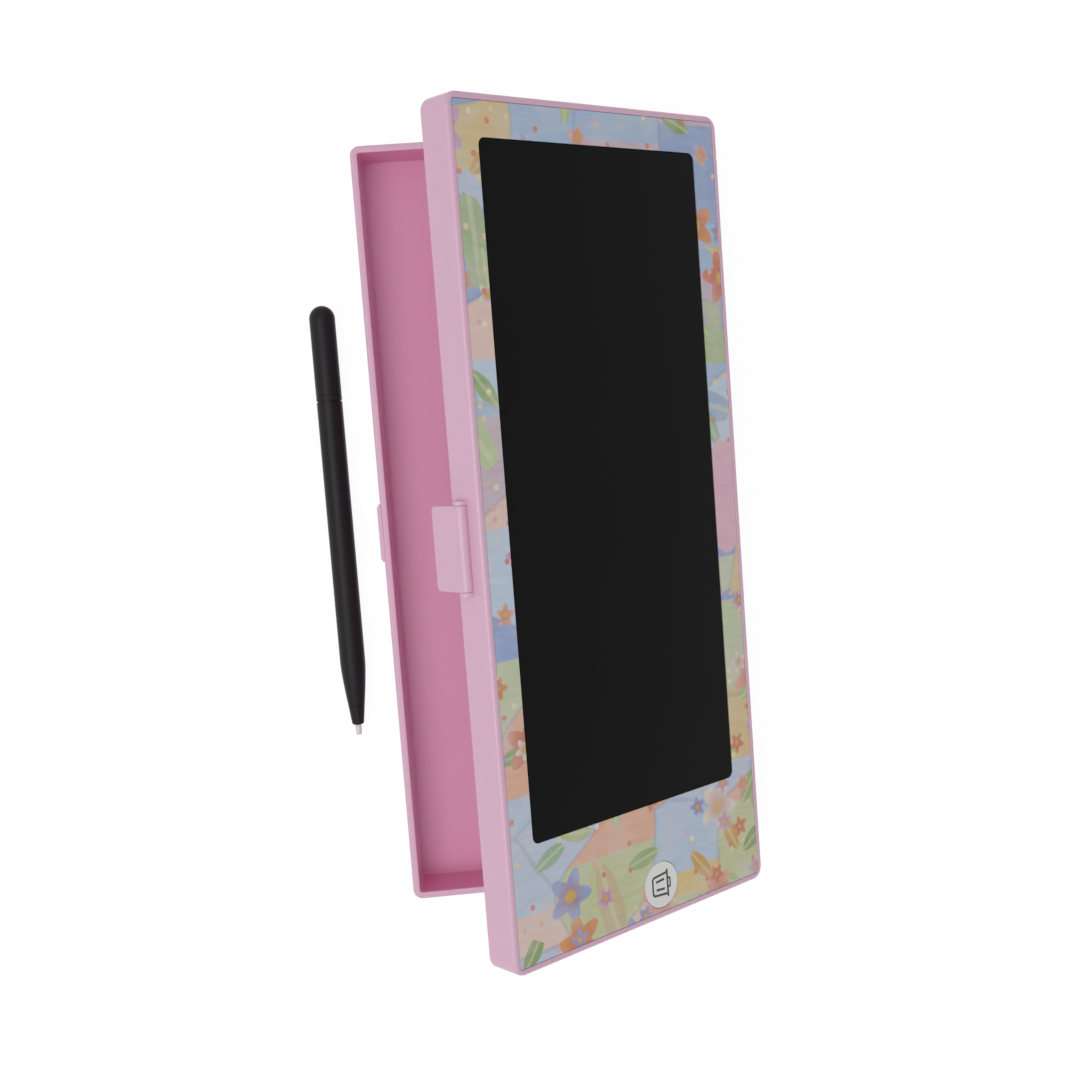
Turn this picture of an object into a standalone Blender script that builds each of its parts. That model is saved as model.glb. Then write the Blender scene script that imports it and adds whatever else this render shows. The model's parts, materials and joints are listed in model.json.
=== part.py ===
"""A slim pencil case whose hinged lid is an LCD writing tablet, with its stylus beside it.

Units are metres and +Z is up. The origin is the centre of the tray's underside, +X runs
towards the end with the erase button, and +Y towards the hinge. Every piece of the lid is
modelled where it lies with the case shut; the lid's axis then turns them all open.
"""
import math

import bmesh
import bpy
from mathutils import Matrix, Vector

MM = 0.001

# Clearances shared by all pieces
FIT = 0.3 * MM
OVERRUN = 3.0 * MM
EMBED = 0.4 * MM
BORE_CLEARANCE = 0.25 * MM

# Case outline
CASE_LENGTH = 240.0 * MM
CASE_WIDTH = 105.4 * MM
WALL = 2.2 * MM
LID_OPEN_ANGLE = math.radians(37.66)

# Tray
TRAY_HEIGHT = 17.0 * MM
TRAY_FLOOR = 2.0 * MM
TRAY_DRAFT = 0.8 * MM
TRAY_CORNER_RADIUS = 3.0 * MM
TRAY_CAVITY_CORNER_RADIUS = 0.9 * MM
TRAY_FLOOR_ROUND = 0.7 * MM
TRAY_RIM_ROUND = 0.8 * MM
TRAY_FOOT_ROUND = 1.2 * MM

# Hinge, whose axis lies behind the back wall at the parting line
HINGE_STANDOFF = 1.5 * MM
KNUCKLE_RADIUS = 2.5 * MM
KNUCKLE_RELIEF = 0.4 * MM
HINGE_PIN_RADIUS = 1.0 * MM
HINGE_STATION_INSET = 42.0 * MM
LID_KNUCKLE_LENGTH = 14.0 * MM
TRAY_KNUCKLE_LENGTH = 6.0 * MM
HINGE_WEB_HEIGHT = 4.5 * MM

# Latch, in the middle of the front side
LATCH_X = 0.4 * MM
FLAP_LENGTH = 23.6 * MM
FLAP_THICKNESS = 1.1 * MM
FLAP_DROP = 6.0 * MM
FLAP_CORNER_RADIUS = 1.6 * MM
FLAP_EDGE_ROUND = 0.3 * MM
FLAP_LIP_HEIGHT = 1.6 * MM
FLAP_LIP_DEPTH = 0.3 * MM
FLAP_LIP_ROUND_SHARE = 0.8
BARREL_RADIUS = 1.85 * MM
BARREL_HEIGHT = 4.55 * MM
LATCH_PIN_RADIUS = 0.6 * MM
LUG_THICKNESS = 1.0 * MM
CATCH_LENGTH = 18.0 * MM
CATCH_HEIGHT = 6.6 * MM
CATCH_PAD_DEPTH = 0.7 * MM
CATCH_BEAD_DEPTH = 0.4 * MM
CATCH_BEAD_HEIGHT = 1.8 * MM
CATCH_BEAD_DROP = 1.2 * MM
CATCH_CORNER_ROUND = 0.5 * MM

# Lid shell and the stack of sheets in its front
LID_THICKNESS = 11.1 * MM
LID_CORNER_RADIUS = 2.2 * MM
LID_INNER_CORNER_RADIUS = 1.0 * MM
LID_EDGE_ROUND = 0.6 * MM
PANEL_CORNER_RADIUS = 0.8 * MM
RIM_LIP = 1.9 * MM
PANEL_SINK = 0.15 * MM
PANEL_THICKNESS = 0.6 * MM
FILM_THICKNESS = 0.5 * MM
BACKING_THICKNESS = 0.4 * MM
DECK_THICKNESS = 1.0 * MM
WINDOW_MARGIN_FAR_END = 11.6 * MM
WINDOW_MARGIN_BUTTON_END = 35.5 * MM
WINDOW_MARGIN_LATCH = 10.1 * MM
WINDOW_MARGIN_HINGE = 11.0 * MM
WINDOW_CORNER_RADIUS = 2.2 * MM
FILM_OVERLAP = 2.5 * MM
LENS_SINK = 0.1 * MM

# Electronics bay under the button end of the panel
BAY_START = 2.5 * MM
BAY_END_WALL = 1.2 * MM
BAY_SIDE_WALL = 1.6 * MM
BAY_ROOF = 1.2 * MM

# Erase button and its switch
BUTTON_INSET = 10.3 * MM
BUTTON_Y = 6.6 * MM
BUTTON_RADIUS = 7.0 * MM
BUTTON_EDGE_ROUND = 0.25 * MM
BUTTON_FLANGE = 0.6 * MM
BUTTON_FLANGE_THICKNESS = 0.8 * MM
BUTTON_TRAVEL = 0.5 * MM
BUTTON_STEM_RADIUS = 2.0 * MM
SWITCH_SIDE = 6.0 * MM
SWITCH_HEIGHT = 1.6 * MM
PLUNGER_RADIUS = 1.4 * MM
PLUNGER_PROUD = 0.6 * MM
PLUNGER_DEPTH = 0.6 * MM

# Inner cover, its screws and the circuit board
COVER_INSET = 3.0 * MM
COVER_THICKNESS = 1.6 * MM
BOARD_THICKNESS = 0.8 * MM
BOARD_LENGTH = 23.5 * MM
BOARD_END_GAP = 1.6 * MM
BOARD_CELL_GAP = 2.7 * MM
BOARD_PAST_BUTTON = 24.4 * MM
SCREW_HEAD_RADIUS = 1.75 * MM
SCREW_HEAD_HEIGHT = 1.0 * MM
SCREW_SHANK_RADIUS = 0.9 * MM
SCREW_LENGTH = 3.7 * MM
SCREW_SINK = 0.15 * MM
SCREW_SLOT_WIDTH = 0.5 * MM
SCREW_SLOT_DEPTH = 0.5 * MM
SCREW_SLOT_SHARE = 0.6
BOSS_RADIUS = 2.6 * MM
SEAT_BOSS_RADIUS = 3.2 * MM
SEAT_BOSS_HEIGHT = 0.8 * MM
COVER_SCREW_END_INSET = 10.0 * MM
COVER_SCREW_SIDE_INSET = 8.7 * MM
BOARD_SCREW_HEAD_RADIUS = 1.5 * MM
BOARD_SCREW_HEAD_HEIGHT = 0.7 * MM
BOARD_SCREW_SHANK_RADIUS = 0.6 * MM
BOARD_SCREW_LENGTH = 1.9 * MM
BOARD_SCREW_INSET = 2.6 * MM

# Parts soldered to the board
CHIP_SIDE = 5.0 * MM
CHIP_HEIGHT = 0.9 * MM
CHIP_OFFSET = 11.4 * MM
CONNECTOR_DEPTH = 3.0 * MM
CONNECTOR_HEIGHT = 1.5 * MM
CONNECTOR_SIDE_WALL = 0.8 * MM
RIBBON_THICKNESS = 0.25 * MM
RIBBON_WIDTH = 10.0 * MM
RIBBON_OFFSET = 13.4 * MM
RIBBON_TOP_RUN = 3.4 * MM
RIBBON_FOOT_RUN = 2.4 * MM

# Coin cell, its contacts and its door
CELL_RADIUS = 10.0 * MM
CELL_THICKNESS = 2.5 * MM
CELL_STEP_RADIUS = 8.4 * MM
CELL_STEP_HEIGHT = 0.4 * MM
CELL_INSET = 17.0 * MM
CELL_SIDE_INSET = 27.7 * MM
CELL_WALL = 1.0 * MM
CELL_WALL_HEIGHT = 2.4 * MM
CONTACT_THICKNESS = 0.25 * MM
CONTACT_WIDTH = 4.0 * MM
CONTACT_ON_BOARD = 3.0 * MM
MINUS_CONTACT_OFFSET = -3.0 * MM
PLUS_CONTACT_OFFSET = 6.0 * MM
PLUS_CONTACT_WIDTH = 3.0 * MM
DOOR_THICKNESS = 0.9 * MM
DOOR_LEDGE = 1.6 * MM
DOOR_TAB_WIDTH = 9.0 * MM
DOOR_TAB_CORNER_SHARE = 1 / 3
DOOR_TAB_REACH = 4.4 * MM
DOOR_SCREW_REACH = 4.6 * MM
DOOR_BOSS_RADIUS = 2.8 * MM
DOOR_BOSS_HEIGHT = 2.0 * MM
DOOR_SCREW_SINK = 0.3 * MM
DOOR_SCREW_LENGTH = 2.6 * MM

# Stylus, lying beside the tray with its nib towards the button end
STYLUS_Y = -66.5 * MM
STYLUS_END_X = -73.0 * MM
STYLUS_RADIUS = 4.1 * MM
STYLUS_DOME_LENGTH = 4.2 * MM
STYLUS_CAP_LENGTH = 28.5 * MM
STYLUS_GROOVE_OFFSET = 1.8 * MM
STYLUS_GROOVE_WIDTH = 0.4 * MM
STYLUS_GROOVE_DEPTH = 0.3 * MM
STYLUS_BODY_LENGTH = 136.4 * MM
STYLUS_TAPER_LENGTH = 14.3 * MM
STYLUS_TAPER_CURVE = 1.35
STYLUS_NOSE_LENGTH = 6.3 * MM
STYLUS_SEAM_RADIUS = 2.67 * MM
STYLUS_NOSE_RADIUS = 1.9 * MM
STYLUS_NOSE_ROUND = 0.7 * MM
STYLUS_CAP_SPIGOT_RADIUS = 2.7 * MM
STYLUS_CAP_SPIGOT_LENGTH = 7.0 * MM
STYLUS_NOSE_SPIGOT_RADIUS = 1.6 * MM
STYLUS_NOSE_SPIGOT_LENGTH = 6.0 * MM
NIB_RADIUS = 1.05 * MM
NIB_TIP_RADIUS = 0.88 * MM
NIB_REACH = 3.5 * MM
NIB_ROUND = 0.3 * MM
NIB_SHANK_LENGTH = 7.0 * MM

# How finely round shapes are faceted, and how edges and faces are picked out
CORNER_SEGMENTS = 6
SMALL_ROUND_SEGMENTS = 3
EDGE_SEGMENTS = 2
FINE_SIDES = 48
BARREL_SIDES = 32
SMALL_SIDES = 20
STYLUS_SIDES = 32
ARC_STEPS = 6
BARREL_ARC_STEPS = 20
ALIGNED_SHARE = 0.99
FACING_UP_SHARE = 0.9
CORNER_ANGLE = math.radians(30)
SMOOTH_ANGLE = math.radians(35)
PLANE_TOLERANCE = 0.001 * MM
MERGE_DISTANCE = 0.01 * MM

# Places worked out from the sizes above
HALF_LENGTH = CASE_LENGTH / 2
HALF_WIDTH = CASE_WIDTH / 2
PARTING_GAP = FIT
LID_BASE = TRAY_HEIGHT + PARTING_GAP
LID_TOP = LID_BASE + LID_THICKNESS
HINGE_Y = HALF_WIDTH + HINGE_STANDOFF
HINGE_Z = TRAY_HEIGHT + PARTING_GAP / 2
FRONT_Y = -HALF_WIDTH
CATCH_PROUD = CATCH_PAD_DEPTH + CATCH_BEAD_DEPTH
FLAP_LIP_FACE = FRONT_Y - CATCH_PROUD - FIT
FLAP_INNER = FLAP_LIP_FACE - FLAP_LIP_DEPTH
FLAP_OUTER = FLAP_INNER - FLAP_THICKNESS
BARREL_Y = FLAP_OUTER + BARREL_RADIUS
BARREL_Z = LID_BASE + BARREL_HEIGHT
PANEL_TOP = LID_TOP - PANEL_SINK
PANEL_BOTTOM = PANEL_TOP - PANEL_THICKNESS
FILM_TOP = PANEL_BOTTOM - FIT
FILM_BOTTOM = FILM_TOP - FILM_THICKNESS
BACKING_TOP = FILM_BOTTOM - FIT
BACKING_BOTTOM = BACKING_TOP - BACKING_THICKNESS
POCKET_FLOOR = BACKING_BOTTOM - FIT
DECK_BOTTOM = POCKET_FLOOR - DECK_THICKNESS
WINDOW_LOW = Vector((-HALF_LENGTH + WINDOW_MARGIN_FAR_END, -HALF_WIDTH + WINDOW_MARGIN_LATCH))
WINDOW_HIGH = Vector((HALF_LENGTH - WINDOW_MARGIN_BUTTON_END, HALF_WIDTH - WINDOW_MARGIN_HINGE))
FILM_LOW = WINDOW_LOW - Vector((FILM_OVERLAP, FILM_OVERLAP))
FILM_HIGH = WINDOW_HIGH + Vector((FILM_OVERLAP, FILM_OVERLAP))
BAY_LOW_X = FILM_HIGH.x + BAY_START
BAY_HIGH_X = HALF_LENGTH - WALL - BAY_END_WALL
BAY_HALF_WIDTH = HALF_WIDTH - WALL - BAY_SIDE_WALL
BAY_CEILING = FILM_TOP - BAY_ROOF
BUTTON_X = HALF_LENGTH - BUTTON_INSET
FLANGE_RADIUS = BUTTON_RADIUS + BUTTON_FLANGE
COVER_BOTTOM = LID_BASE + COVER_INSET
COVER_TOP = COVER_BOTTOM + COVER_THICKNESS
BOARD_BOTTOM = COVER_TOP + FIT
BOARD_TOP = BOARD_BOTTOM + BOARD_THICKNESS
BOARD_HIGH_X = HALF_LENGTH - WALL - BOARD_END_GAP
BOARD_LOW_X = BOARD_HIGH_X - BOARD_LENGTH
CELL_X = HALF_LENGTH - CELL_INSET
CELL_Y = -HALF_WIDTH + CELL_SIDE_INSET
CELL_HOLE_RADIUS = CELL_RADIUS + FIT
BOARD_LATCH_SIDE = CELL_Y + CELL_HOLE_RADIUS + CELL_WALL + BOARD_CELL_GAP
BOARD_HINGE_SIDE = BUTTON_Y + BOARD_PAST_BUTTON
CHIP_Y = BUTTON_Y + CHIP_OFFSET
RIBBON_Y = BUTTON_Y + RIBBON_OFFSET
SOLDER_Z = BOARD_TOP + FIT
SWITCH_TOP = SOLDER_Z + SWITCH_HEIGHT
PLUNGER_TOP = SWITCH_TOP + PLUNGER_PROUD
STEM_BOTTOM = PLUNGER_TOP + FIT
RIBBON_DOWN_X = FILM_HIGH.x + FIT + RIBBON_TOP_RUN
CONNECTOR_LOW_X = RIBBON_DOWN_X + RIBBON_FOOT_RUN + FIT
CELL_BOTTOM = COVER_TOP + FIT
CELL_TOP = CELL_BOTTOM + CELL_THICKNESS
DOOR_RADIUS = CELL_HOLE_RADIUS + DOOR_LEDGE
DOOR_SCREW_X = CELL_X - DOOR_RADIUS - DOOR_SCREW_REACH
DOOR_TAB_END_X = DOOR_SCREW_X - DOOR_TAB_REACH
SCREW_BORE_RADIUS = SCREW_SHANK_RADIUS + BORE_CLEARANCE
HEAD_BORE_RADIUS = SCREW_HEAD_RADIUS + FIT
STYLUS_NOSE_SEAM = STYLUS_BODY_LENGTH - STYLUS_NOSE_LENGTH
STYLUS_TAPER_START = STYLUS_NOSE_SEAM - STYLUS_TAPER_LENGTH


def clear_scene():
    for old in list(bpy.data.objects):
        bpy.data.objects.remove(old, do_unlink=True)


def make_collection(name):
    collection = bpy.data.collections.new(name)
    bpy.context.scene.collection.children.link(collection)
    return collection


def make_material(name, colour, roughness, metallic=0.0):
    material = bpy.data.materials.new(name)
    material.use_nodes = True
    shader = material.node_tree.nodes["Principled BSDF"]
    shader.inputs["Base Color"].default_value = (*colour, 1.0)
    shader.inputs["Roughness"].default_value = roughness
    shader.inputs["Metallic"].default_value = metallic
    return material


def make_pivot(name, centre, parent=None):
    """An empty on a joint's axis, whose children keep the coordinates of the shut case."""
    pivot = bpy.data.objects.new(name, None)
    parts.objects.link(pivot)
    pivot.location = centre + shut_case_offset(parent)
    pivot.parent = parent
    pivot_centres[pivot.name] = centre
    return pivot


def shut_case_offset(pivot):
    """The place under a pivot that gives back the coordinates of the shut case."""
    return Vector() if pivot is None else -pivot_centres[pivot.name]


def add_box(bm, low, high):
    """A box between two corners; returns its vertices."""
    low, high = Vector(low), Vector(high)
    matrix = Matrix.Translation((low + high) / 2) @ Matrix.Diagonal((*(high - low), 1.0))
    return bmesh.ops.create_cube(bm, size=1.0, matrix=matrix)["verts"]


def add_cylinder(bm, centre, radius, length, axis, sides):
    """A cylinder of the given length along X or Z, about its middle point."""
    turn = Matrix.Rotation(math.pi / 2, 4, "Y") if axis == "X" else Matrix.Identity(4)
    bmesh.ops.create_cone(bm, cap_ends=True, segments=sides, radius1=radius, radius2=radius,
                          depth=length, matrix=Matrix.Translation(Vector(centre)) @ turn)


def add_upright(bm, x, y, bottom, top, radius, sides=SMALL_SIDES):
    """A vertical cylinder between two heights."""
    add_cylinder(bm, (x, y, (bottom + top) / 2), radius, top - bottom, "Z", sides)


def edges_along(verts, axis):
    """The straight edges of a box that run along one axis."""
    edges = {edge for vert in verts for edge in vert.link_edges}
    return [edge for edge in edges
            if abs((edge.verts[0].co - edge.verts[1].co).normalized()[axis]) > ALIGNED_SHARE]


def edges_at(bm, axis, value):
    """The edges of a plane face at one value of an axis, where it meets the sides."""
    found = []
    for edge in bm.edges:
        on_plane = all(abs(vert.co[axis] - value) < PLANE_TOLERANCE for vert in edge.verts)
        if on_plane and edge.calc_face_angle(0.0) > CORNER_ANGLE:
            found.append(edge)
    return found


def round_edges(bm, edges, radius, segments):
    bmesh.ops.bevel(bm, geom=edges, offset=radius, offset_type="OFFSET", segments=segments,
                    profile=0.5, affect="EDGES", clamp_overlap=True)


def rounded_plate(low, high, radius, segments=CORNER_SEGMENTS):
    """A plate with rounded plan corners."""
    bm = bmesh.new()
    verts = add_box(bm, low, high)
    round_edges(bm, edges_along(verts, 2), radius, segments)
    return bm


def make_object(name, bm, collection, pivot=None, material=None):
    """Turn a bmesh into an object that hangs on its pivot."""
    bmesh.ops.recalc_face_normals(bm, faces=bm.faces)
    mesh = bpy.data.meshes.new(name)
    bm.to_mesh(mesh)
    bm.free()
    mesh.shade_smooth()
    mesh.set_sharp_from_angle(angle=SMOOTH_ANGLE)
    result = bpy.data.objects.new(name, mesh)
    collection.objects.link(result)
    result.parent = pivot
    result.location = shut_case_offset(pivot)
    if material is not None:
        mesh.materials.append(material)
    return result


def tray_piece(name, bm, material):
    return make_object(name, bm, parts, material=material)


def lid_piece(name, bm, material):
    return make_object(name, bm, parts, lid_pivot, material)


def shape(target, operation, bm, name):
    """Cut, join or keep a piece with a hidden helper that hangs where the piece hangs."""
    helper = make_object(name, bm, helpers, target.parent)
    helper.hide_render = True
    helper.display_type = "WIRE"
    modifier = target.modifiers.new(name, "BOOLEAN")
    modifier.operation = operation
    modifier.solver = "EXACT"
    modifier.object = helper


def turned_piece(name, profile, centre, pivot, material, sides, along_x=False):
    """A turned piece: a profile of (radius, distance) points, from the far end to the near."""
    mesh = bpy.data.meshes.new(name)
    points = [(radius, 0.0, distance) for radius, distance in profile]
    mesh.from_pydata(points, [(i, i + 1) for i in range(len(points) - 1)], [])
    mesh.materials.append(material)
    result = bpy.data.objects.new(name, mesh)
    parts.objects.link(result)
    result.parent = pivot
    result.location = centre + shut_case_offset(pivot)
    if along_x:
        result.rotation_euler = (0.0, math.pi / 2, 0.0)
    screw = result.modifiers.new("turn", "SCREW")
    screw.axis = "Z"
    screw.steps = sides
    screw.render_steps = sides
    screw.use_merge_vertices = True
    screw.merge_threshold = MERGE_DISTANCE
    screw.use_smooth_shade = True
    return result


def hinge_stations():
    """The middle of each hinge station, and the middles of its three knuckles."""
    pitch = (LID_KNUCKLE_LENGTH + TRAY_KNUCKLE_LENGTH) / 2 + FIT
    for side in (-1, 1):
        middle = side * (HALF_LENGTH - HINGE_STATION_INSET)
        yield middle, (middle - pitch, middle + pitch)


def add_webs(bm, centres, length, wall_top, wall_bottom):
    """Short walls that carry knuckles on a back wall."""
    for x in centres:
        add_box(bm, (x - length / 2, HALF_WIDTH - EMBED, wall_bottom),
                (x + length / 2, HINGE_Y + HINGE_STANDOFF - FIT, wall_top))


def add_knuckles(bm, centres, length, radius):
    for x in centres:
        add_cylinder(bm, (x, HINGE_Y, HINGE_Z), radius, length, "X", BARREL_SIDES)


def tray_knuckle_centres():
    return [x for middle, pair in hinge_stations() for x in pair]


def lid_knuckle_centres():
    return [middle for middle, pair in hinge_stations()]


def hinge_pin_span():
    return LID_KNUCKLE_LENGTH + 2 * (TRAY_KNUCKLE_LENGTH + FIT)


def make_tray_shell(material):
    bm = rounded_plate((-HALF_LENGTH, -HALF_WIDTH, 0.0), (HALF_LENGTH, HALF_WIDTH, TRAY_HEIGHT),
                       TRAY_CORNER_RADIUS)
    round_edges(bm, edges_at(bm, 2, 0.0), TRAY_FOOT_ROUND, SMALL_ROUND_SEGMENTS)
    round_edges(bm, edges_at(bm, 2, TRAY_HEIGHT), TRAY_RIM_ROUND, SMALL_ROUND_SEGMENTS)
    shell = tray_piece("tray_shell", bm, material)

    cavity = rounded_plate((-HALF_LENGTH + WALL, -HALF_WIDTH + WALL, TRAY_FLOOR),
                           (HALF_LENGTH - WALL, HALF_WIDTH - WALL, TRAY_HEIGHT),
                           TRAY_CAVITY_CORNER_RADIUS)
    for vert in cavity.verts:
        if vert.co.z < TRAY_HEIGHT / 2:
            vert.co.x -= math.copysign(TRAY_DRAFT, vert.co.x)
            vert.co.y -= math.copysign(TRAY_DRAFT, vert.co.y)
    round_edges(cavity, edges_at(cavity, 2, TRAY_FLOOR), TRAY_FLOOR_ROUND, SMALL_ROUND_SEGMENTS + 1)
    top_faces = [face for face in cavity.faces if face.normal.z > FACING_UP_SHARE]
    raised = bmesh.ops.extrude_face_region(cavity, geom=top_faces)["geom"]
    bmesh.ops.delete(cavity, geom=top_faces, context="FACES_ONLY")
    raised_verts = [item for item in raised if isinstance(item, bmesh.types.BMVert)]
    bmesh.ops.translate(cavity, verts=raised_verts, vec=(0.0, 0.0, OVERRUN))
    shape(shell, "DIFFERENCE", cavity, "tray_cavity")

    webs = bmesh.new()
    add_webs(webs, tray_knuckle_centres(), TRAY_KNUCKLE_LENGTH, HINGE_Z, HINGE_Z - HINGE_WEB_HEIGHT)
    shape(shell, "UNION", webs, "tray_webs")
    knuckles = bmesh.new()
    add_knuckles(knuckles, tray_knuckle_centres(), TRAY_KNUCKLE_LENGTH, KNUCKLE_RADIUS)
    shape(shell, "UNION", knuckles, "tray_knuckles")
    reliefs = bmesh.new()
    add_knuckles(reliefs, lid_knuckle_centres(), LID_KNUCKLE_LENGTH + 2 * FIT,
                 KNUCKLE_RADIUS + KNUCKLE_RELIEF)
    shape(shell, "DIFFERENCE", reliefs, "lid_knuckle_reliefs")
    bores = bmesh.new()
    add_knuckles(bores, lid_knuckle_centres(), hinge_pin_span() + OVERRUN,
                 HINGE_PIN_RADIUS + BORE_CLEARANCE)
    shape(shell, "DIFFERENCE", bores, "tray_pin_bores")
    add_catch(shell)


def add_catch(shell):
    """The pad on the front wall, with the bead that the flap's lip snaps over."""
    left, right = LATCH_X - CATCH_LENGTH / 2, LATCH_X + CATCH_LENGTH / 2
    pad = bmesh.new()
    verts = add_box(pad, (left, FRONT_Y - CATCH_PAD_DEPTH, TRAY_HEIGHT - CATCH_HEIGHT),
                    (right, FRONT_Y + EMBED, TRAY_HEIGHT))
    outer = [edge for edge in edges_along(verts, 2)
             if all(vert.co.y < FRONT_Y for vert in edge.verts)]
    round_edges(pad, outer, CATCH_CORNER_ROUND, EDGE_SEGMENTS)
    shape(shell, "UNION", pad, "catch_pad")
    bead = bmesh.new()
    bead_top = TRAY_HEIGHT - CATCH_BEAD_DROP
    verts = add_box(bead, (left + CATCH_CORNER_ROUND, FRONT_Y - CATCH_PROUD,
                           bead_top - CATCH_BEAD_HEIGHT),
                    (right - CATCH_CORNER_ROUND, FRONT_Y - EMBED, bead_top))
    outer = [edge for edge in edges_along(verts, 0)
             if all(vert.co.y < FRONT_Y - CATCH_PAD_DEPTH for vert in edge.verts)]
    round_edges(bead, outer, CATCH_BEAD_DEPTH, EDGE_SEGMENTS)
    shape(shell, "UNION", bead, "catch_bead")


def make_hinge_pins(material):
    for name, x in zip(("hinge_pin_far", "hinge_pin_near"), lid_knuckle_centres()):
        bm = bmesh.new()
        add_knuckles(bm, [x], hinge_pin_span(), HINGE_PIN_RADIUS)
        tray_piece(name, bm, material)


def lug_centres():
    reach = FLAP_LENGTH / 2 + FIT + LUG_THICKNESS / 2
    return (LATCH_X - reach, LATCH_X + reach)


def cover_screw_places():
    end = HALF_LENGTH - COVER_SCREW_END_INSET
    side = HALF_WIDTH - COVER_SCREW_SIDE_INSET
    return [(x, y) for x in (-end, 0.0, end) for y in (-side, side)]


def make_lid_frame(material):
    bm = rounded_plate((-HALF_LENGTH, -HALF_WIDTH, LID_BASE), (HALF_LENGTH, HALF_WIDTH, LID_TOP),
                       LID_CORNER_RADIUS)
    round_edges(bm, edges_at(bm, 2, LID_TOP), LID_EDGE_ROUND, EDGE_SEGMENTS)
    frame = lid_piece("lid_frame", bm, material)

    under = rounded_plate((-HALF_LENGTH + WALL, -HALF_WIDTH + WALL, LID_BASE - OVERRUN),
                          (HALF_LENGTH - WALL, HALF_WIDTH - WALL, DECK_BOTTOM),
                          LID_INNER_CORNER_RADIUS)
    shape(frame, "DIFFERENCE", under, "lid_underside")
    recess = rounded_plate((-HALF_LENGTH + RIM_LIP, -HALF_WIDTH + RIM_LIP, FILM_TOP),
                           (HALF_LENGTH - RIM_LIP, HALF_WIDTH - RIM_LIP, LID_TOP + OVERRUN),
                           PANEL_CORNER_RADIUS + FIT)
    shape(frame, "DIFFERENCE", recess, "panel_recess")
    pocket = bmesh.new()
    add_box(pocket, (FILM_LOW.x - FIT, FILM_LOW.y - FIT, POCKET_FLOOR),
            (FILM_HIGH.x + FIT, FILM_HIGH.y + FIT, LID_TOP))
    shape(frame, "DIFFERENCE", pocket, "film_pocket")
    bay = rounded_plate((BAY_LOW_X, -BAY_HALF_WIDTH, LID_BASE),
                        (BAY_HIGH_X, BAY_HALF_WIDTH, BAY_CEILING), LID_INNER_CORNER_RADIUS)
    shape(frame, "DIFFERENCE", bay, "electronics_bay")
    openings = bmesh.new()
    add_upright(openings, BUTTON_X, BUTTON_Y, LID_BASE, LID_TOP, FLANGE_RADIUS + FIT, FINE_SIDES)
    add_box(openings, (FILM_HIGH.x - FIT, RIBBON_Y - RIBBON_WIDTH / 2 - FIT, LID_BASE),
            (RIBBON_DOWN_X + RIBBON_THICKNESS + FIT, RIBBON_Y + RIBBON_WIDTH / 2 + FIT, LID_TOP))
    shape(frame, "DIFFERENCE", openings, "button_and_ribbon_openings")
    add_screw_bosses(frame)
    add_lid_hinge(frame)
    add_latch_lugs(frame)


def add_screw_bosses(frame):
    bosses = bmesh.new()
    boss_bottom = COVER_TOP + SEAT_BOSS_HEIGHT + FIT
    for x, y in cover_screw_places():
        carrier = BAY_CEILING if x > BAY_LOW_X else DECK_BOTTOM
        add_upright(bosses, x, y, boss_bottom, carrier + EMBED, BOSS_RADIUS)
    shape(frame, "UNION", bosses, "cover_screw_bosses")
    bores = bmesh.new()
    bore_top = COVER_BOTTOM + SCREW_SINK + SCREW_HEAD_HEIGHT + SCREW_LENGTH + FIT
    for x, y in cover_screw_places():
        add_upright(bores, x, y, LID_BASE, bore_top, SCREW_BORE_RADIUS)
    shape(frame, "DIFFERENCE", bores, "cover_screw_bores")


def add_lid_hinge(frame):
    webs = bmesh.new()
    add_webs(webs, lid_knuckle_centres(), LID_KNUCKLE_LENGTH, HINGE_Z + HINGE_WEB_HEIGHT, HINGE_Z)
    shape(frame, "UNION", webs, "lid_webs")
    knuckles = bmesh.new()
    add_knuckles(knuckles, lid_knuckle_centres(), LID_KNUCKLE_LENGTH, KNUCKLE_RADIUS)
    shape(frame, "UNION", knuckles, "lid_knuckles")
    reliefs = bmesh.new()
    add_knuckles(reliefs, tray_knuckle_centres(), TRAY_KNUCKLE_LENGTH + 2 * FIT,
                 KNUCKLE_RADIUS + KNUCKLE_RELIEF)
    shape(frame, "DIFFERENCE", reliefs, "tray_knuckle_reliefs")
    bores = bmesh.new()
    add_knuckles(bores, lid_knuckle_centres(), hinge_pin_span(), HINGE_PIN_RADIUS + BORE_CLEARANCE)
    shape(frame, "DIFFERENCE", bores, "lid_pin_bores")


def add_latch_lugs(frame):
    recess = bmesh.new()
    add_cylinder(recess, (LATCH_X, BARREL_Y, BARREL_Z), BARREL_RADIUS + FIT,
                 FLAP_LENGTH + 2 * FIT, "X", BARREL_SIDES)
    shape(frame, "DIFFERENCE", recess, "barrel_recess")
    blocks = bmesh.new()
    for x in lug_centres():
        add_box(blocks, (x - LUG_THICKNESS / 2, BARREL_Y, BARREL_Z - BARREL_RADIUS),
                (x + LUG_THICKNESS / 2, FRONT_Y + EMBED, BARREL_Z + BARREL_RADIUS))
    shape(frame, "UNION", blocks, "lug_blocks")
    rounds = bmesh.new()
    for x in lug_centres():
        add_cylinder(rounds, (x, BARREL_Y, BARREL_Z), BARREL_RADIUS, LUG_THICKNESS, "X",
                     BARREL_SIDES)
    shape(frame, "UNION", rounds, "lug_rounds")
    bore = bmesh.new()
    add_cylinder(bore, (LATCH_X, BARREL_Y, BARREL_Z), LATCH_PIN_RADIUS + BORE_CLEARANCE,
                 latch_pin_length() + OVERRUN, "X", SMALL_SIDES)
    shape(frame, "DIFFERENCE", bore, "lug_bore")


def latch_pin_length():
    return FLAP_LENGTH + 2 * (FIT + LUG_THICKNESS)


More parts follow.
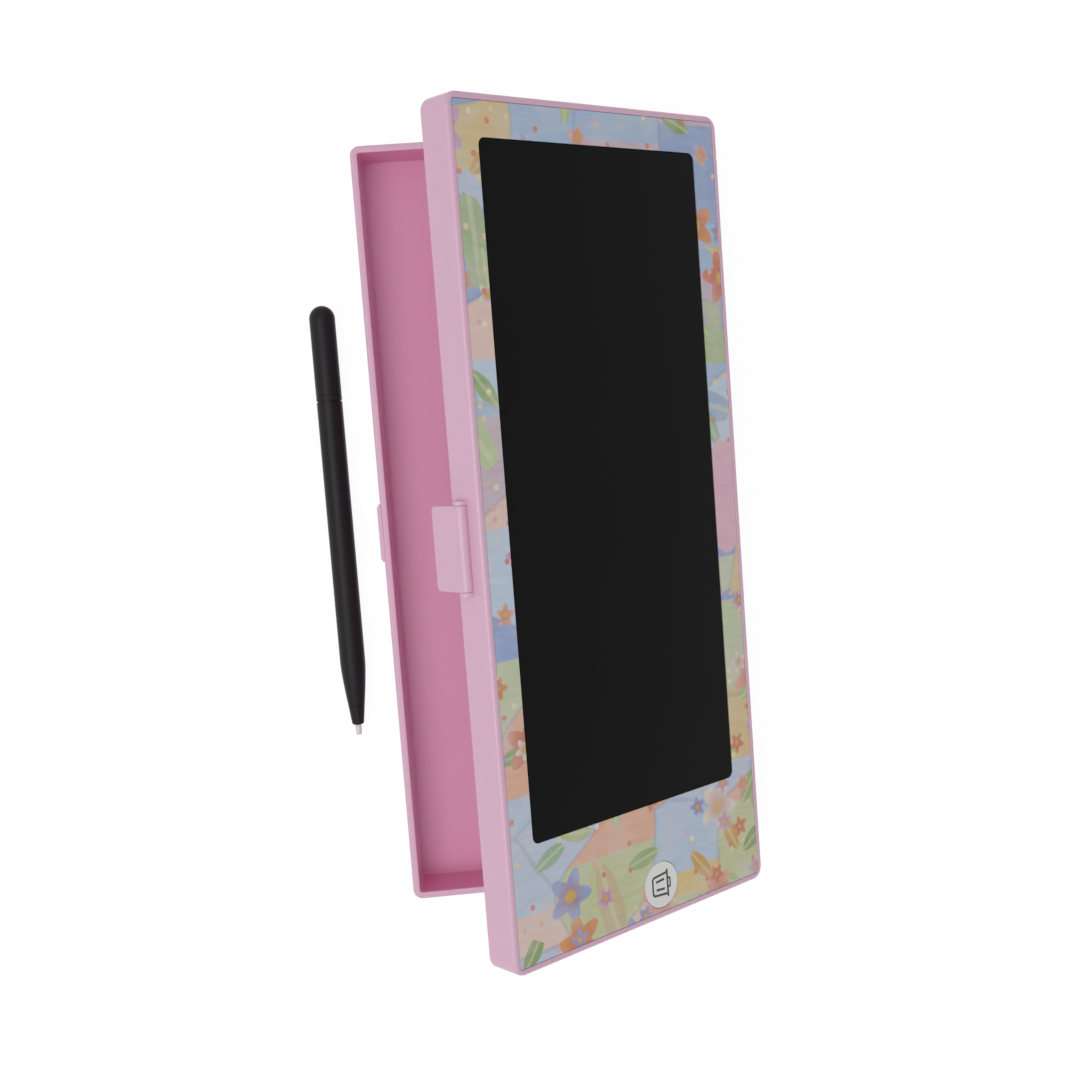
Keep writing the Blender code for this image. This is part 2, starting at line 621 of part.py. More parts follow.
def make_latch(flap_material, pin_material):
    pin = bmesh.new()
    add_cylinder(pin, (LATCH_X, BARREL_Y, BARREL_Z), LATCH_PIN_RADIUS, latch_pin_length(), "X",
                 SMALL_SIDES)
    lid_piece("latch_pin", pin, pin_material)

    left, right = LATCH_X - FLAP_LENGTH / 2, LATCH_X + FLAP_LENGTH / 2
    flap_bottom = LID_BASE - FLAP_DROP
    plate = extruded_outline(flap_outline(flap_bottom), "X", LATCH_X, FLAP_LENGTH)
    corners = [edge for edge in edges_along(plate.verts, 1)
               if all(vert.co.z < flap_bottom + EMBED for vert in edge.verts)]
    round_edges(plate, corners, FLAP_CORNER_RADIUS, CORNER_SEGMENTS)
    outer = [edge for edge in edges_at(plate, 1, FLAP_OUTER)
             if min(vert.co.z for vert in edge.verts) < LID_BASE]
    round_edges(plate, outer, FLAP_EDGE_ROUND, EDGE_SEGMENTS)
    flap = make_object("latch_flap", plate, parts, latch_pivot, flap_material)

    lip = bmesh.new()
    verts = add_box(lip, (left + FLAP_CORNER_RADIUS, FLAP_INNER - EMBED,
                          flap_bottom + FLAP_EDGE_ROUND),
                    (right - FLAP_CORNER_RADIUS, FLAP_LIP_FACE,
                     flap_bottom + FLAP_EDGE_ROUND + FLAP_LIP_HEIGHT))
    inner = [edge for edge in edges_along(verts, 0)
             if all(vert.co.y > FLAP_INNER for vert in edge.verts)]
    round_edges(lip, inner, FLAP_LIP_DEPTH * FLAP_LIP_ROUND_SHARE, 1)
    shape(flap, "UNION", lip, "flap_lip")
    bore = bmesh.new()
    add_cylinder(bore, (LATCH_X, BARREL_Y, BARREL_Z), LATCH_PIN_RADIUS + BORE_CLEARANCE,
                 FLAP_LENGTH + OVERRUN, "X", SMALL_SIDES)
    shape(flap, "DIFFERENCE", bore, "flap_bore")


def flap_outline(bottom):
    """The flap seen from its end: a round barrel whose front runs straight down to the foot."""
    inner_angle = math.acos((FLAP_INNER - BARREL_Y) / BARREL_RADIUS)
    angles = [-inner_angle + (inner_angle + math.pi) * i / BARREL_ARC_STEPS
              for i in range(BARREL_ARC_STEPS + 1)]
    arc = [(BARREL_Y + BARREL_RADIUS * math.cos(angle), BARREL_Z + BARREL_RADIUS * math.sin(angle))
           for angle in angles]
    return arc + [(FLAP_OUTER, bottom), (FLAP_INNER, bottom)]


def make_sheets(panel_material, film_material, backing_material):
    edge = RIM_LIP + FIT
    bm = rounded_plate((-HALF_LENGTH + edge, -HALF_WIDTH + edge, PANEL_BOTTOM),
                       (HALF_LENGTH - edge, HALF_WIDTH - edge, PANEL_TOP), PANEL_CORNER_RADIUS)
    panel = lid_piece("front_panel", bm, panel_material)
    window = rounded_plate((*WINDOW_LOW, PANEL_BOTTOM - OVERRUN),
                           (*WINDOW_HIGH, PANEL_TOP + OVERRUN), WINDOW_CORNER_RADIUS)
    shape(panel, "DIFFERENCE", window, "panel_window")
    hole = bmesh.new()
    add_upright(hole, BUTTON_X, BUTTON_Y, PANEL_BOTTOM - OVERRUN, PANEL_TOP + OVERRUN,
                BUTTON_RADIUS + FIT, FINE_SIDES)
    shape(panel, "DIFFERENCE", hole, "panel_button_hole")

    bm = bmesh.new()
    add_box(bm, (*FILM_LOW, FILM_BOTTOM), (*FILM_HIGH, FILM_TOP))
    film = lid_piece("writing_film", bm, film_material)
    lens = rounded_plate((WINDOW_LOW.x + FIT, WINDOW_LOW.y + FIT, FILM_TOP - EMBED),
                         (WINDOW_HIGH.x - FIT, WINDOW_HIGH.y - FIT, PANEL_TOP - LENS_SINK),
                         WINDOW_CORNER_RADIUS - FIT)
    shape(film, "UNION", lens, "film_lens")
    backing = bmesh.new()
    add_box(backing, (*FILM_LOW, BACKING_BOTTOM), (*FILM_HIGH, BACKING_TOP))
    lid_piece("film_backing", backing, backing_material)


def make_button(cap_material, plunger_material):
    flange_bottom = FILM_TOP - BUTTON_FLANGE_THICKNESS
    round_drop = BUTTON_EDGE_ROUND
    profile = [(0.0, PANEL_TOP), (BUTTON_RADIUS - round_drop, PANEL_TOP),
               (BUTTON_RADIUS, PANEL_TOP - round_drop), (BUTTON_RADIUS, FILM_TOP),
               (FLANGE_RADIUS, FILM_TOP), (FLANGE_RADIUS, flange_bottom),
               (BUTTON_STEM_RADIUS, flange_bottom), (BUTTON_STEM_RADIUS, STEM_BOTTOM),
               (0.0, STEM_BOTTOM)]
    place = Vector((BUTTON_X, BUTTON_Y, 0.0))
    turned_piece("button_cap", profile, place, button_pivot, cap_material, FINE_SIDES)
    plunger_bottom = SWITCH_TOP - PLUNGER_DEPTH
    plunger = [(0.0, PLUNGER_TOP), (PLUNGER_RADIUS, PLUNGER_TOP),
               (PLUNGER_RADIUS, plunger_bottom), (0.0, plunger_bottom)]
    turned_piece("switch_plunger", plunger, place, button_pivot, plunger_material, SMALL_SIDES)


def make_switch_body(material):
    bm = bmesh.new()
    half = SWITCH_SIDE / 2
    add_box(bm, (BUTTON_X - half, BUTTON_Y - half, SOLDER_Z),
            (BUTTON_X + half, BUTTON_Y + half, SWITCH_TOP))
    body = lid_piece("erase_switch", bm, material)
    well = bmesh.new()
    well_bottom = SWITCH_TOP - PLUNGER_DEPTH - BUTTON_TRAVEL - FIT / 2
    add_upright(well, BUTTON_X, BUTTON_Y, well_bottom, SWITCH_TOP + OVERRUN, PLUNGER_RADIUS + FIT)
    shape(body, "DIFFERENCE", well, "switch_well")


def board_screw_places():
    x = BOARD_HIGH_X - BOARD_SCREW_INSET
    return [(x, BOARD_LATCH_SIDE + BOARD_SCREW_INSET), (x, BOARD_HINGE_SIDE - BOARD_SCREW_INSET)]


def make_board(board_material, chip_material, connector_material, screw_material):
    bm = bmesh.new()
    add_box(bm, (BOARD_LOW_X, BOARD_LATCH_SIDE, BOARD_BOTTOM),
            (BOARD_HIGH_X, BOARD_HINGE_SIDE, BOARD_TOP))
    board = lid_piece("circuit_board", bm, board_material)
    holes = bmesh.new()
    for x, y in board_screw_places():
        add_upright(holes, x, y, BOARD_BOTTOM - OVERRUN, BOARD_TOP + OVERRUN,
                    BOARD_SCREW_SHANK_RADIUS + BORE_CLEARANCE)
    shape(board, "DIFFERENCE", holes, "board_holes")

    chip = bmesh.new()
    add_box(chip, (BUTTON_X - CHIP_SIDE / 2, CHIP_Y - CHIP_SIDE / 2, SOLDER_Z),
            (BUTTON_X + CHIP_SIDE / 2, CHIP_Y + CHIP_SIDE / 2, SOLDER_Z + CHIP_HEIGHT))
    lid_piece("controller_chip", chip, chip_material)
    connector = bmesh.new()
    half = RIBBON_WIDTH / 2 + CONNECTOR_SIDE_WALL
    add_box(connector, (CONNECTOR_LOW_X, RIBBON_Y - half, SOLDER_Z),
            (CONNECTOR_LOW_X + CONNECTOR_DEPTH, RIBBON_Y + half, SOLDER_Z + CONNECTOR_HEIGHT))
    lid_piece("ribbon_connector", connector, connector_material)

    length = SOLDER_Z - BOARD_BOTTOM + BOARD_SCREW_LENGTH
    for number, (x, y) in enumerate(board_screw_places(), 1):
        make_screw(f"board_screw_{number}", x, y, SOLDER_Z + BOARD_SCREW_HEAD_HEIGHT, -1,
                   (BOARD_SCREW_HEAD_RADIUS, BOARD_SCREW_HEAD_HEIGHT),
                   (BOARD_SCREW_SHANK_RADIUS, length), lid_pivot, screw_material)


def make_screw(name, x, y, face, way, head, shank, pivot, material):
    """A pan-head screw: way is 1 where its shank points up from the face, -1 where down."""
    head_radius, head_height = head
    shank_radius, length = shank
    under, tip = face + way * head_height, face + way * (head_height + length)
    profile = [(0.0, face), (head_radius, face), (head_radius, under), (shank_radius, under),
               (shank_radius, tip), (0.0, tip)]
    if way > 0:
        profile.reverse()
    return turned_piece(name, profile, Vector((x, y, 0.0)), pivot, material, SMALL_SIDES)


def extruded_outline(outline, width_axis, centre, width):
    """An upright outline extruded along X or Y, about the middle of its width."""
    bm = bmesh.new()
    low = centre - width / 2
    if width_axis == "Y":
        verts = [bm.verts.new((a, low, b)) for a, b in outline]
        shift = Vector((0.0, width, 0.0))
    else:
        verts = [bm.verts.new((low, a, b)) for a, b in outline]
        shift = Vector((width, 0.0, 0.0))
    face = bm.faces.new(verts)
    extruded = bmesh.ops.extrude_face_region(bm, geom=[face])["geom"]
    moved = [item for item in extruded if isinstance(item, bmesh.types.BMVert)]
    bmesh.ops.translate(bm, verts=moved, vec=shift)
    bmesh.ops.recalc_face_normals(bm, faces=bm.faces)
    return bm


def add_strip(name, path, width_axis, centre, width, thickness, material):
    """A bent metal or film strip: an outline along a path, extruded across its width."""
    bm = extruded_outline(offset_outline(path, thickness), width_axis, centre, width)
    lid_piece(name, bm, material)


def offset_outline(path, thickness):
    """The closed outline of a right-angled path, given its middle line."""
    left, right = [], []
    half = thickness / 2
    count = len(path)
    for i, (a, b) in enumerate(path):
        before = Vector(path[max(i - 1, 0)])
        after = Vector(path[min(i + 1, count - 1)])
        here = Vector((a, b))
        normal = Vector((0.0, 0.0))
        for start, end in ((before, here), (here, after)):
            if (end - start).length > 0.0:
                way = (end - start).normalized()
                normal += Vector((-way.y, way.x)) * half
        if i in (0, count - 1):
            normal = normal.normalized() * half
        left.append((a + normal.x, b + normal.y))
        right.append((a - normal.x, b - normal.y))
    return left + right[::-1]


def make_ribbon(material):
    high = FILM_TOP - FILM_THICKNESS / 2
    low = SOLDER_Z + RIBBON_THICKNESS / 2
    start = FILM_HIGH.x + FIT
    path = [(start, high), (RIBBON_DOWN_X, high), (RIBBON_DOWN_X, low),
            (CONNECTOR_LOW_X - FIT, low)]
    add_strip("film_ribbon", path, "Y", RIBBON_Y, RIBBON_WIDTH, RIBBON_THICKNESS, material)


def make_contacts(material):
    low = SOLDER_Z + CONTACT_THICKNESS / 2
    board_end = BOARD_LATCH_SIDE + CONTACT_ON_BOARD
    high = CELL_TOP + FIT + CONTACT_THICKNESS / 2
    drop_y = CELL_Y + CELL_HOLE_RADIUS + CELL_WALL + FIT + CONTACT_THICKNESS
    path = [(CELL_Y - CELL_STEP_RADIUS / 2, high), (drop_y, high), (drop_y, low),
            (board_end, low)]
    add_strip("battery_contact_minus", path, "X", CELL_X + MINUS_CONTACT_OFFSET, CONTACT_WIDTH,
              CONTACT_THICKNESS, material)
    near = PLUS_CONTACT_OFFSET - PLUS_CONTACT_WIDTH / 2
    rim_y = CELL_Y + math.sqrt(CELL_RADIUS ** 2 - near ** 2) + FIT + CONTACT_THICKNESS / 2
    path = [(rim_y, CELL_BOTTOM + FIT), (rim_y, low), (board_end, low)]
    add_strip("battery_contact_plus", path, "X", CELL_X + PLUS_CONTACT_OFFSET,
              PLUS_CONTACT_WIDTH, CONTACT_THICKNESS, material)


def make_coin_cell(material):
    shoulder = CELL_TOP - CELL_STEP_HEIGHT
    profile = [(0.0, CELL_TOP), (CELL_STEP_RADIUS, CELL_TOP), (CELL_STEP_RADIUS, shoulder),
               (CELL_RADIUS, shoulder), (CELL_RADIUS, CELL_BOTTOM), (0.0, CELL_BOTTOM)]
    turned_piece("coin_cell", profile, Vector((CELL_X, CELL_Y, 0.0)), lid_pivot, material,
                 FINE_SIDES)


def add_door_outline(bm, grow, bottom, top):
    """The door's outline: a disc under the cell, here without its tab."""
    add_upright(bm, CELL_X, CELL_Y, bottom, top, DOOR_RADIUS + grow, FINE_SIDES)


def door_tab(grow, bottom, top):
    """The tab that reaches from under the disc to the door's screw."""
    half = DOOR_TAB_WIDTH / 2 + grow
    return rounded_plate((DOOR_TAB_END_X - grow, CELL_Y - half, bottom),
                         (CELL_X, CELL_Y + half, top), DOOR_TAB_WIDTH * DOOR_TAB_CORNER_SHARE)


def make_inner_cover(material):
    edge = WALL + FIT
    bm = rounded_plate((-HALF_LENGTH + edge, -HALF_WIDTH + edge, COVER_BOTTOM),
                       (HALF_LENGTH - edge, HALF_WIDTH - edge, COVER_TOP),
                       LID_INNER_CORNER_RADIUS)
    cover = lid_piece("inner_cover", bm, material)
    add_cell_well(cover)

    seats = bmesh.new()
    for x, y in cover_screw_places():
        add_upright(seats, x, y, COVER_TOP - EMBED, COVER_TOP + SEAT_BOSS_HEIGHT,
                    SEAT_BOSS_RADIUS)
    shape(cover, "UNION", seats, "cover_screw_seats")
    bores = bmesh.new()
    for x, y in cover_screw_places():
        add_upright(bores, x, y, COVER_BOTTOM, COVER_TOP + OVERRUN, SCREW_BORE_RADIUS)
    shape(cover, "DIFFERENCE", bores, "cover_shank_bores")
    heads = bmesh.new()
    for x, y in cover_screw_places():
        add_upright(heads, x, y, COVER_BOTTOM - OVERRUN,
                    COVER_BOTTOM + SCREW_SINK + SCREW_HEAD_HEIGHT + FIT, HEAD_BORE_RADIUS)
    shape(cover, "DIFFERENCE", heads, "cover_head_bores")
    threads = bmesh.new()
    for x, y in board_screw_places():
        add_upright(threads, x, y, BOARD_BOTTOM - BOARD_SCREW_LENGTH - FIT, COVER_TOP + OVERRUN,
                    BOARD_SCREW_SHANK_RADIUS + BORE_CLEARANCE)
    shape(cover, "DIFFERENCE", threads, "board_screw_bores")


def add_cell_well(cover):
    """The round wall that holds the cell, the stepped hole for its door and the door's boss."""
    wall = bmesh.new()
    add_upright(wall, CELL_X, CELL_Y, COVER_TOP - EMBED, COVER_TOP + CELL_WALL_HEIGHT,
                CELL_HOLE_RADIUS + CELL_WALL, FINE_SIDES)
    shape(cover, "UNION", wall, "cell_wall")
    boss = bmesh.new()
    add_upright(boss, DOOR_SCREW_X, CELL_Y, COVER_TOP - EMBED, door_thread_top() + FIT,
                DOOR_BOSS_RADIUS + FIT + CELL_WALL, BARREL_SIDES)
    shape(cover, "UNION", boss, "door_screw_boss")
    hole = bmesh.new()
    add_upright(hole, CELL_X, CELL_Y, COVER_BOTTOM - OVERRUN, CELL_TOP + OVERRUN,
                CELL_HOLE_RADIUS, FINE_SIDES)
    shape(cover, "DIFFERENCE", hole, "cell_hole")
    slot = bmesh.new()
    half = PLUS_CONTACT_WIDTH / 2 + FIT
    x = CELL_X + PLUS_CONTACT_OFFSET
    add_box(slot, (x - half, CELL_Y, COVER_TOP),
            (x + half, BOARD_LATCH_SIDE, COVER_TOP + CELL_WALL_HEIGHT + OVERRUN))
    shape(cover, "DIFFERENCE", slot, "plus_contact_slot")
    disc = bmesh.new()
    add_door_outline(disc, FIT, COVER_BOTTOM - OVERRUN, COVER_BOTTOM + DOOR_THICKNESS + FIT)
    shape(cover, "DIFFERENCE", disc, "door_disc_recess")
    tab = door_tab(FIT, COVER_BOTTOM - OVERRUN, COVER_BOTTOM + DOOR_THICKNESS + FIT)
    shape(cover, "DIFFERENCE", tab, "door_tab_recess")
    well = bmesh.new()
    add_upright(well, DOOR_SCREW_X, CELL_Y, COVER_BOTTOM, COVER_BOTTOM + DOOR_BOSS_HEIGHT + FIT,
                DOOR_BOSS_RADIUS + FIT, BARREL_SIDES)
    shape(cover, "DIFFERENCE", well, "door_boss_well")
    thread = bmesh.new()
    add_upright(thread, DOOR_SCREW_X, CELL_Y, COVER_BOTTOM, door_thread_top() + OVERRUN,
                SCREW_BORE_RADIUS)
    shape(cover, "DIFFERENCE", thread, "door_thread_bore")


def door_thread_top():
    return COVER_BOTTOM + DOOR_SCREW_SINK + SCREW_HEAD_HEIGHT + DOOR_SCREW_LENGTH


def make_battery_door(door_material, screw_material):
    bm = bmesh.new()
    add_door_outline(bm, 0.0, COVER_BOTTOM, COVER_BOTTOM + DOOR_THICKNESS)
    door = make_object("battery_door", bm, parts, door_pivot, door_material)
    tab = door_tab(0.0, COVER_BOTTOM, COVER_BOTTOM + DOOR_THICKNESS)
    shape(door, "UNION", tab, "door_tab")
    pad = bmesh.new()
    add_upright(pad, CELL_X, CELL_Y, COVER_BOTTOM + DOOR_THICKNESS - EMBED, COVER_TOP,
                CELL_HOLE_RADIUS - FIT, FINE_SIDES)
    shape(door, "UNION", pad, "door_pad")
    boss = bmesh.new()
    add_upright(boss, DOOR_SCREW_X, CELL_Y, COVER_BOTTOM + EMBED, COVER_BOTTOM + DOOR_BOSS_HEIGHT,
                DOOR_BOSS_RADIUS, BARREL_SIDES)
    shape(door, "UNION", boss, "door_boss")
    bore = bmesh.new()
    add_upright(bore, DOOR_SCREW_X, CELL_Y, COVER_BOTTOM,
                COVER_BOTTOM + DOOR_BOSS_HEIGHT + OVERRUN, SCREW_BORE_RADIUS)
    shape(door, "DIFFERENCE", bore, "door_shank_bore")
    head = bmesh.new()
    add_upright(head, DOOR_SCREW_X, CELL_Y, COVER_BOTTOM - OVERRUN,
                COVER_BOTTOM + DOOR_SCREW_SINK + SCREW_HEAD_HEIGHT + FIT, HEAD_BORE_RADIUS)
    shape(door, "DIFFERENCE", head, "door_head_bore")

    face = COVER_BOTTOM + DOOR_SCREW_SINK
    screw = make_screw("battery_door_screw", DOOR_SCREW_X, CELL_Y, face, 1,
                       (SCREW_HEAD_RADIUS, SCREW_HEAD_HEIGHT),
                       (SCREW_SHANK_RADIUS, DOOR_SCREW_LENGTH), door_pivot, screw_material)
    cut_cross_recess(screw, DOOR_SCREW_X, CELL_Y, face)


def cut_cross_recess(screw, x, y, face):
    """A plus-shaped drive recess in a head whose face looks down."""
    reach = SCREW_HEAD_RADIUS * SCREW_SLOT_SHARE
    half = SCREW_SLOT_WIDTH / 2
    for name, long_x, long_y in (("slot_along", reach, half), ("slot_across", half, reach)):
        bm = bmesh.new()
        add_box(bm, (x - long_x, y - long_y, face - OVERRUN),
                (x + long_x, y + long_y, face + SCREW_SLOT_DEPTH))
        shape(screw, "DIFFERENCE", bm, f"{screw.name}_{name}")


def make_cover_screws(material):
    face = COVER_BOTTOM + SCREW_SINK
    for number, (x, y) in enumerate(cover_screw_places(), 1):
        screw = make_screw(f"cover_screw_{number}", x, y, face, 1,
                           (SCREW_HEAD_RADIUS, SCREW_HEAD_HEIGHT),
                           (SCREW_SHANK_RADIUS, SCREW_LENGTH), lid_pivot, material)
        cut_cross_recess(screw, x, y, face)


def taper_radius(distance):
    """The stylus's radius along its tapering end: full at its start, straight at the seam."""
    share = (distance - STYLUS_TAPER_START) / STYLUS_TAPER_LENGTH
    return STYLUS_RADIUS - (STYLUS_RADIUS - STYLUS_SEAM_RADIUS) * share ** STYLUS_TAPER_CURVE


def arc_points(radius, length):
    """Quarter ellipse points for the domed end, from the axis out to the full radius."""
    return [(radius * math.sin(math.pi / 2 * i / ARC_STEPS),
             length * (1 - math.cos(math.pi / 2 * i / ARC_STEPS))) for i in range(ARC_STEPS + 1)]


def stylus_piece(name, profile, material):
    place = Vector((STYLUS_END_X, STYLUS_Y, STYLUS_RADIUS))
    turned_piece(name, profile, place, stylus_pivot, material, STYLUS_SIDES, along_x=True)


def make_stylus(body_material, nib_material):
    half_gap = FIT / 2
    cap_end = STYLUS_CAP_LENGTH - half_gap
    cap = [(0.0, cap_end + STYLUS_CAP_SPIGOT_LENGTH),
           (STYLUS_CAP_SPIGOT_RADIUS, cap_end + STYLUS_CAP_SPIGOT_LENGTH),
           (STYLUS_CAP_SPIGOT_RADIUS, cap_end), (STYLUS_RADIUS, cap_end)]
    cap += arc_points(STYLUS_RADIUS, STYLUS_DOME_LENGTH)[::-1]
    stylus_piece("stylus_cap", cap, body_material)

    start, end = STYLUS_CAP_LENGTH + half_gap, STYLUS_NOSE_SEAM - half_gap
    groove = STYLUS_CAP_LENGTH + STYLUS_GROOVE_OFFSET
    sink = STYLUS_RADIUS - STYLUS_GROOVE_DEPTH
    cap_bore = STYLUS_CAP_SPIGOT_RADIUS + FIT
    cap_bore_end = start + STYLUS_CAP_SPIGOT_LENGTH + FIT
    nose_bore = STYLUS_NOSE_SPIGOT_RADIUS + FIT
    nose_bore_end = end - STYLUS_NOSE_SPIGOT_LENGTH - FIT
    taper = [STYLUS_NOSE_SEAM - STYLUS_TAPER_LENGTH * i / ARC_STEPS
             for i in range(1, ARC_STEPS + 1)]
    barrel = [(0.0, nose_bore_end), (nose_bore, nose_bore_end), (nose_bore, end),
              (taper_radius(end), end)]
    barrel += [(taper_radius(distance), distance) for distance in taper]
    barrel += [(STYLUS_RADIUS, groove + STYLUS_GROOVE_WIDTH), (sink, groove + STYLUS_GROOVE_WIDTH),
               (sink, groove), (STYLUS_RADIUS, groove), (STYLUS_RADIUS, start),
               (cap_bore, start), (cap_bore, cap_bore_end), (0.0, cap_bore_end)]
    stylus_piece("stylus_barrel", barrel, body_material)

    nose_start = STYLUS_NOSE_SEAM + half_gap
    spigot_end = nose_start - STYLUS_NOSE_SPIGOT_LENGTH
    nib_bore = NIB_RADIUS + BORE_CLEARANCE / 2
    nib_back = STYLUS_BODY_LENGTH - NIB_SHANK_LENGTH
    nose = [(0.0, nib_back - FIT), (nib_bore, nib_back - FIT), (nib_bore, STYLUS_BODY_LENGTH),
            (STYLUS_NOSE_RADIUS - STYLUS_NOSE_ROUND, STYLUS_BODY_LENGTH),
            (STYLUS_NOSE_RADIUS, STYLUS_BODY_LENGTH - STYLUS_NOSE_ROUND),
            (STYLUS_SEAM_RADIUS, nose_start), (STYLUS_NOSE_SPIGOT_RADIUS, nose_start),
            (STYLUS_NOSE_SPIGOT_RADIUS, spigot_end), (0.0, spigot_end)]
    stylus_piece("stylus_nose", nose, body_material)

    tip = STYLUS_BODY_LENGTH + NIB_REACH
    nib = [(0.0, tip), (NIB_TIP_RADIUS - NIB_ROUND, tip), (NIB_TIP_RADIUS, tip - NIB_ROUND),
           (NIB_RADIUS, STYLUS_BODY_LENGTH), (NIB_RADIUS, nib_back), (0.0, nib_back)]
    stylus_piece("stylus_nib", nib, nib_material)


clear_scene()
parts = make_collection("lcd_writing_tablet")
helpers = make_collection("helpers")

pivot_centres = {}
lid_pivot = make_pivot("lid_axis", Vector((0.0, HINGE_Y, HINGE_Z)))
latch_pivot = make_pivot("latch_axis", Vector((LATCH_X, BARREL_Y, BARREL_Z)), lid_pivot)
button_pivot = make_pivot("button_axis", Vector((BUTTON_X, BUTTON_Y, PANEL_TOP)), lid_pivot)
door_pivot = make_pivot("door_axis", Vector((CELL_X, CELL_Y, COVER_BOTTOM)), lid_pivot)
stylus_pivot = make_pivot("stylus_axis", Vector((STYLUS_END_X, STYLUS_Y, STYLUS_RADIUS)))

pink_plastic = make_material("pink_abs", (0.71, 0.42, 0.55), 0.42)
printed_sheet = make_material("printed_sheet", (0.55, 0.58, 0.62), 0.35)
film_black = make_material("lcd_film", (0.006, 0.006, 0.006), 0.3)
backing_black = make_material("black_foam", (0.01, 0.01, 0.01), 0.8)
white_plastic = make_material("white_abs", (0.8, 0.8, 0.8), 0.35)
black_plastic = make_material("black_abs", (0.015, 0.015, 0.015), 0.4)
grey_nib = make_material("grey_nib", (0.55, 0.55, 0.55), 0.5)
steel = make_material("steel", (0.6, 0.6, 0.62), 0.3, 1.0)
board_green = make_material("green_board", (0.02, 0.12, 0.05), 0.5)
ribbon_amber = make_material("amber_ribbon", (0.45, 0.2, 0.03), 0.35)

make_tray_shell(pink_plastic)
make_hinge_pins(steel)
make_lid_frame(pink_plastic)
make_sheets(printed_sheet, film_black, backing_black)
make_ribbon(ribbon_amber)
make_board(board_green, black_plastic, white_plastic, steel)
make_switch_body(black_plastic)
make_button(white_plastic, white_plastic)
make_contacts(steel)
make_coin_cell(steel)
make_inner_cover(pink_plastic)
make_cover_screws(steel)
make_battery_door(pink_plastic, steel)
make_latch(pink_plastic, steel)
make_stylus(black_plastic, grey_nib)

lid_pivot.rotation_euler = (-LID_OPEN_ANGLE, 0.0, 0.0)
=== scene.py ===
"""A slim pencil case whose hinged lid is an LCD writing tablet, with its stylus beside it.

Metres, +Z up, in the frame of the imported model. The pieces of the lid are modelled as they
lie with the case shut, and are then turned about the hinge to where the lid rests.
"""
import json
from math import acos, cos, pi, radians, sin

import bmesh
import bpy
from mathutils import Matrix, Vector


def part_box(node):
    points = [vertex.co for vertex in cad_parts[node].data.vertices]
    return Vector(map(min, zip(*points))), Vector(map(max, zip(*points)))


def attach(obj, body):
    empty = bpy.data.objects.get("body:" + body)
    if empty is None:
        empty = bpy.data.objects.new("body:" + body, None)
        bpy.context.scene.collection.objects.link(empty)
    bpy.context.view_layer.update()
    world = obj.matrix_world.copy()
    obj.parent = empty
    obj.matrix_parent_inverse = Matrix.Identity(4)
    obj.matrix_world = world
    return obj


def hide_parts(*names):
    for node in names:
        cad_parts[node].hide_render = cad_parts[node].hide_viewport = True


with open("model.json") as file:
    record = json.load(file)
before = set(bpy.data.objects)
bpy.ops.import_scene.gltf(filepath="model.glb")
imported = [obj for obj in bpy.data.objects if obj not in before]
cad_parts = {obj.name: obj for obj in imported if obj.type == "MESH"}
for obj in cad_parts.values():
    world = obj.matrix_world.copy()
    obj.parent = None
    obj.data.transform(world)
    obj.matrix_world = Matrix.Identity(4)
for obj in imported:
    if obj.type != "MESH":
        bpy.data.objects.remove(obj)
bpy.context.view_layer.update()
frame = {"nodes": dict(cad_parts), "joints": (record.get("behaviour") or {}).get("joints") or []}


# Camera: the photograph was taken from half a metre above the tray, a little to its latch
# side, with the case's length running down the picture.
CAMERA_PLACE = (-0.03880, -0.03254, 0.48026)
CAMERA_TURN_DEGREES = (-5.279, -4.057, 85.648)
CAMERA_LENS = 48.74
CAMERA_SENSOR_WIDTH = 36.0
camera_data = bpy.data.cameras.new("camera")
camera_data.sensor_width = CAMERA_SENSOR_WIDTH
camera_data.lens = CAMERA_LENS
camera = bpy.data.objects.new("camera", camera_data)
camera.location = CAMERA_PLACE
camera.rotation_euler = [radians(angle) for angle in CAMERA_TURN_DEGREES]
bpy.context.collection.objects.link(camera)
bpy.context.scene.camera = camera


# Studio: a white paper sweep that the case lies on. The paper stays white to the camera and
# keeps a soft shadow, while one large softbox and an even white room light the case.
PAPER_SIZE = 6.0
PAPER_WHITE_SHARE = 0.9
PAPER_BRIGHTNESS = 1.05
ROOM_LEVEL = 0.41
SOFTBOX_SIZE = 0.7
SOFTBOX_POWER = 3.9
SOFTBOX_PLACE = Vector((0.1, -0.4, 1.0))


def srgb(hex_colour):
    """A hex colour as the linear values that a node takes."""
    shares = [int(hex_colour[i:i + 2], 16) / 255 for i in (1, 3, 5)]
    linear = [c / 12.92 if c <= 0.04045 else ((c + 0.055) / 1.055) ** 2.4 for c in shares]
    return (*linear, 1.0)


def set_inputs(node, inputs):
    """Set a node's inputs, by name or in their order. Nodes and sockets given are linked."""
    for key, value in inputs.items() if isinstance(inputs, dict) else enumerate(inputs):
        for item in value if isinstance(value, list) else [value]:
            if isinstance(item, bpy.types.Node):
                item = next(socket for socket in item.outputs if socket.enabled)
            if isinstance(item, bpy.types.NodeSocket):
                node.id_data.links.new(item, node.inputs[key])
            else:
                node.inputs[key].default_value = srgb(item) if isinstance(item, str) else item
    return node


def node_adder(tree):
    """The function that adds a node to a tree: a shader node, unless its kind says more."""
    def add(kind, inputs=(), **settings):
        node = tree.nodes.new(kind if "Node" in kind else f"ShaderNode{kind}")
        for name, value in settings.items():
            setattr(node, name, value)
        return set_inputs(node, inputs)
    return add


def seen_directly(add):
    """1 for what the camera sees, straight or in metal and glass, and 0 for light."""
    rays = add("LightPath").outputs
    seen = rays["Is Camera Ray"]
    for kind in ("Is Glossy Ray", "Is Transmission Ray"):
        seen = add("Math", (seen, rays[kind]), operation="MAXIMUM")
    return seen


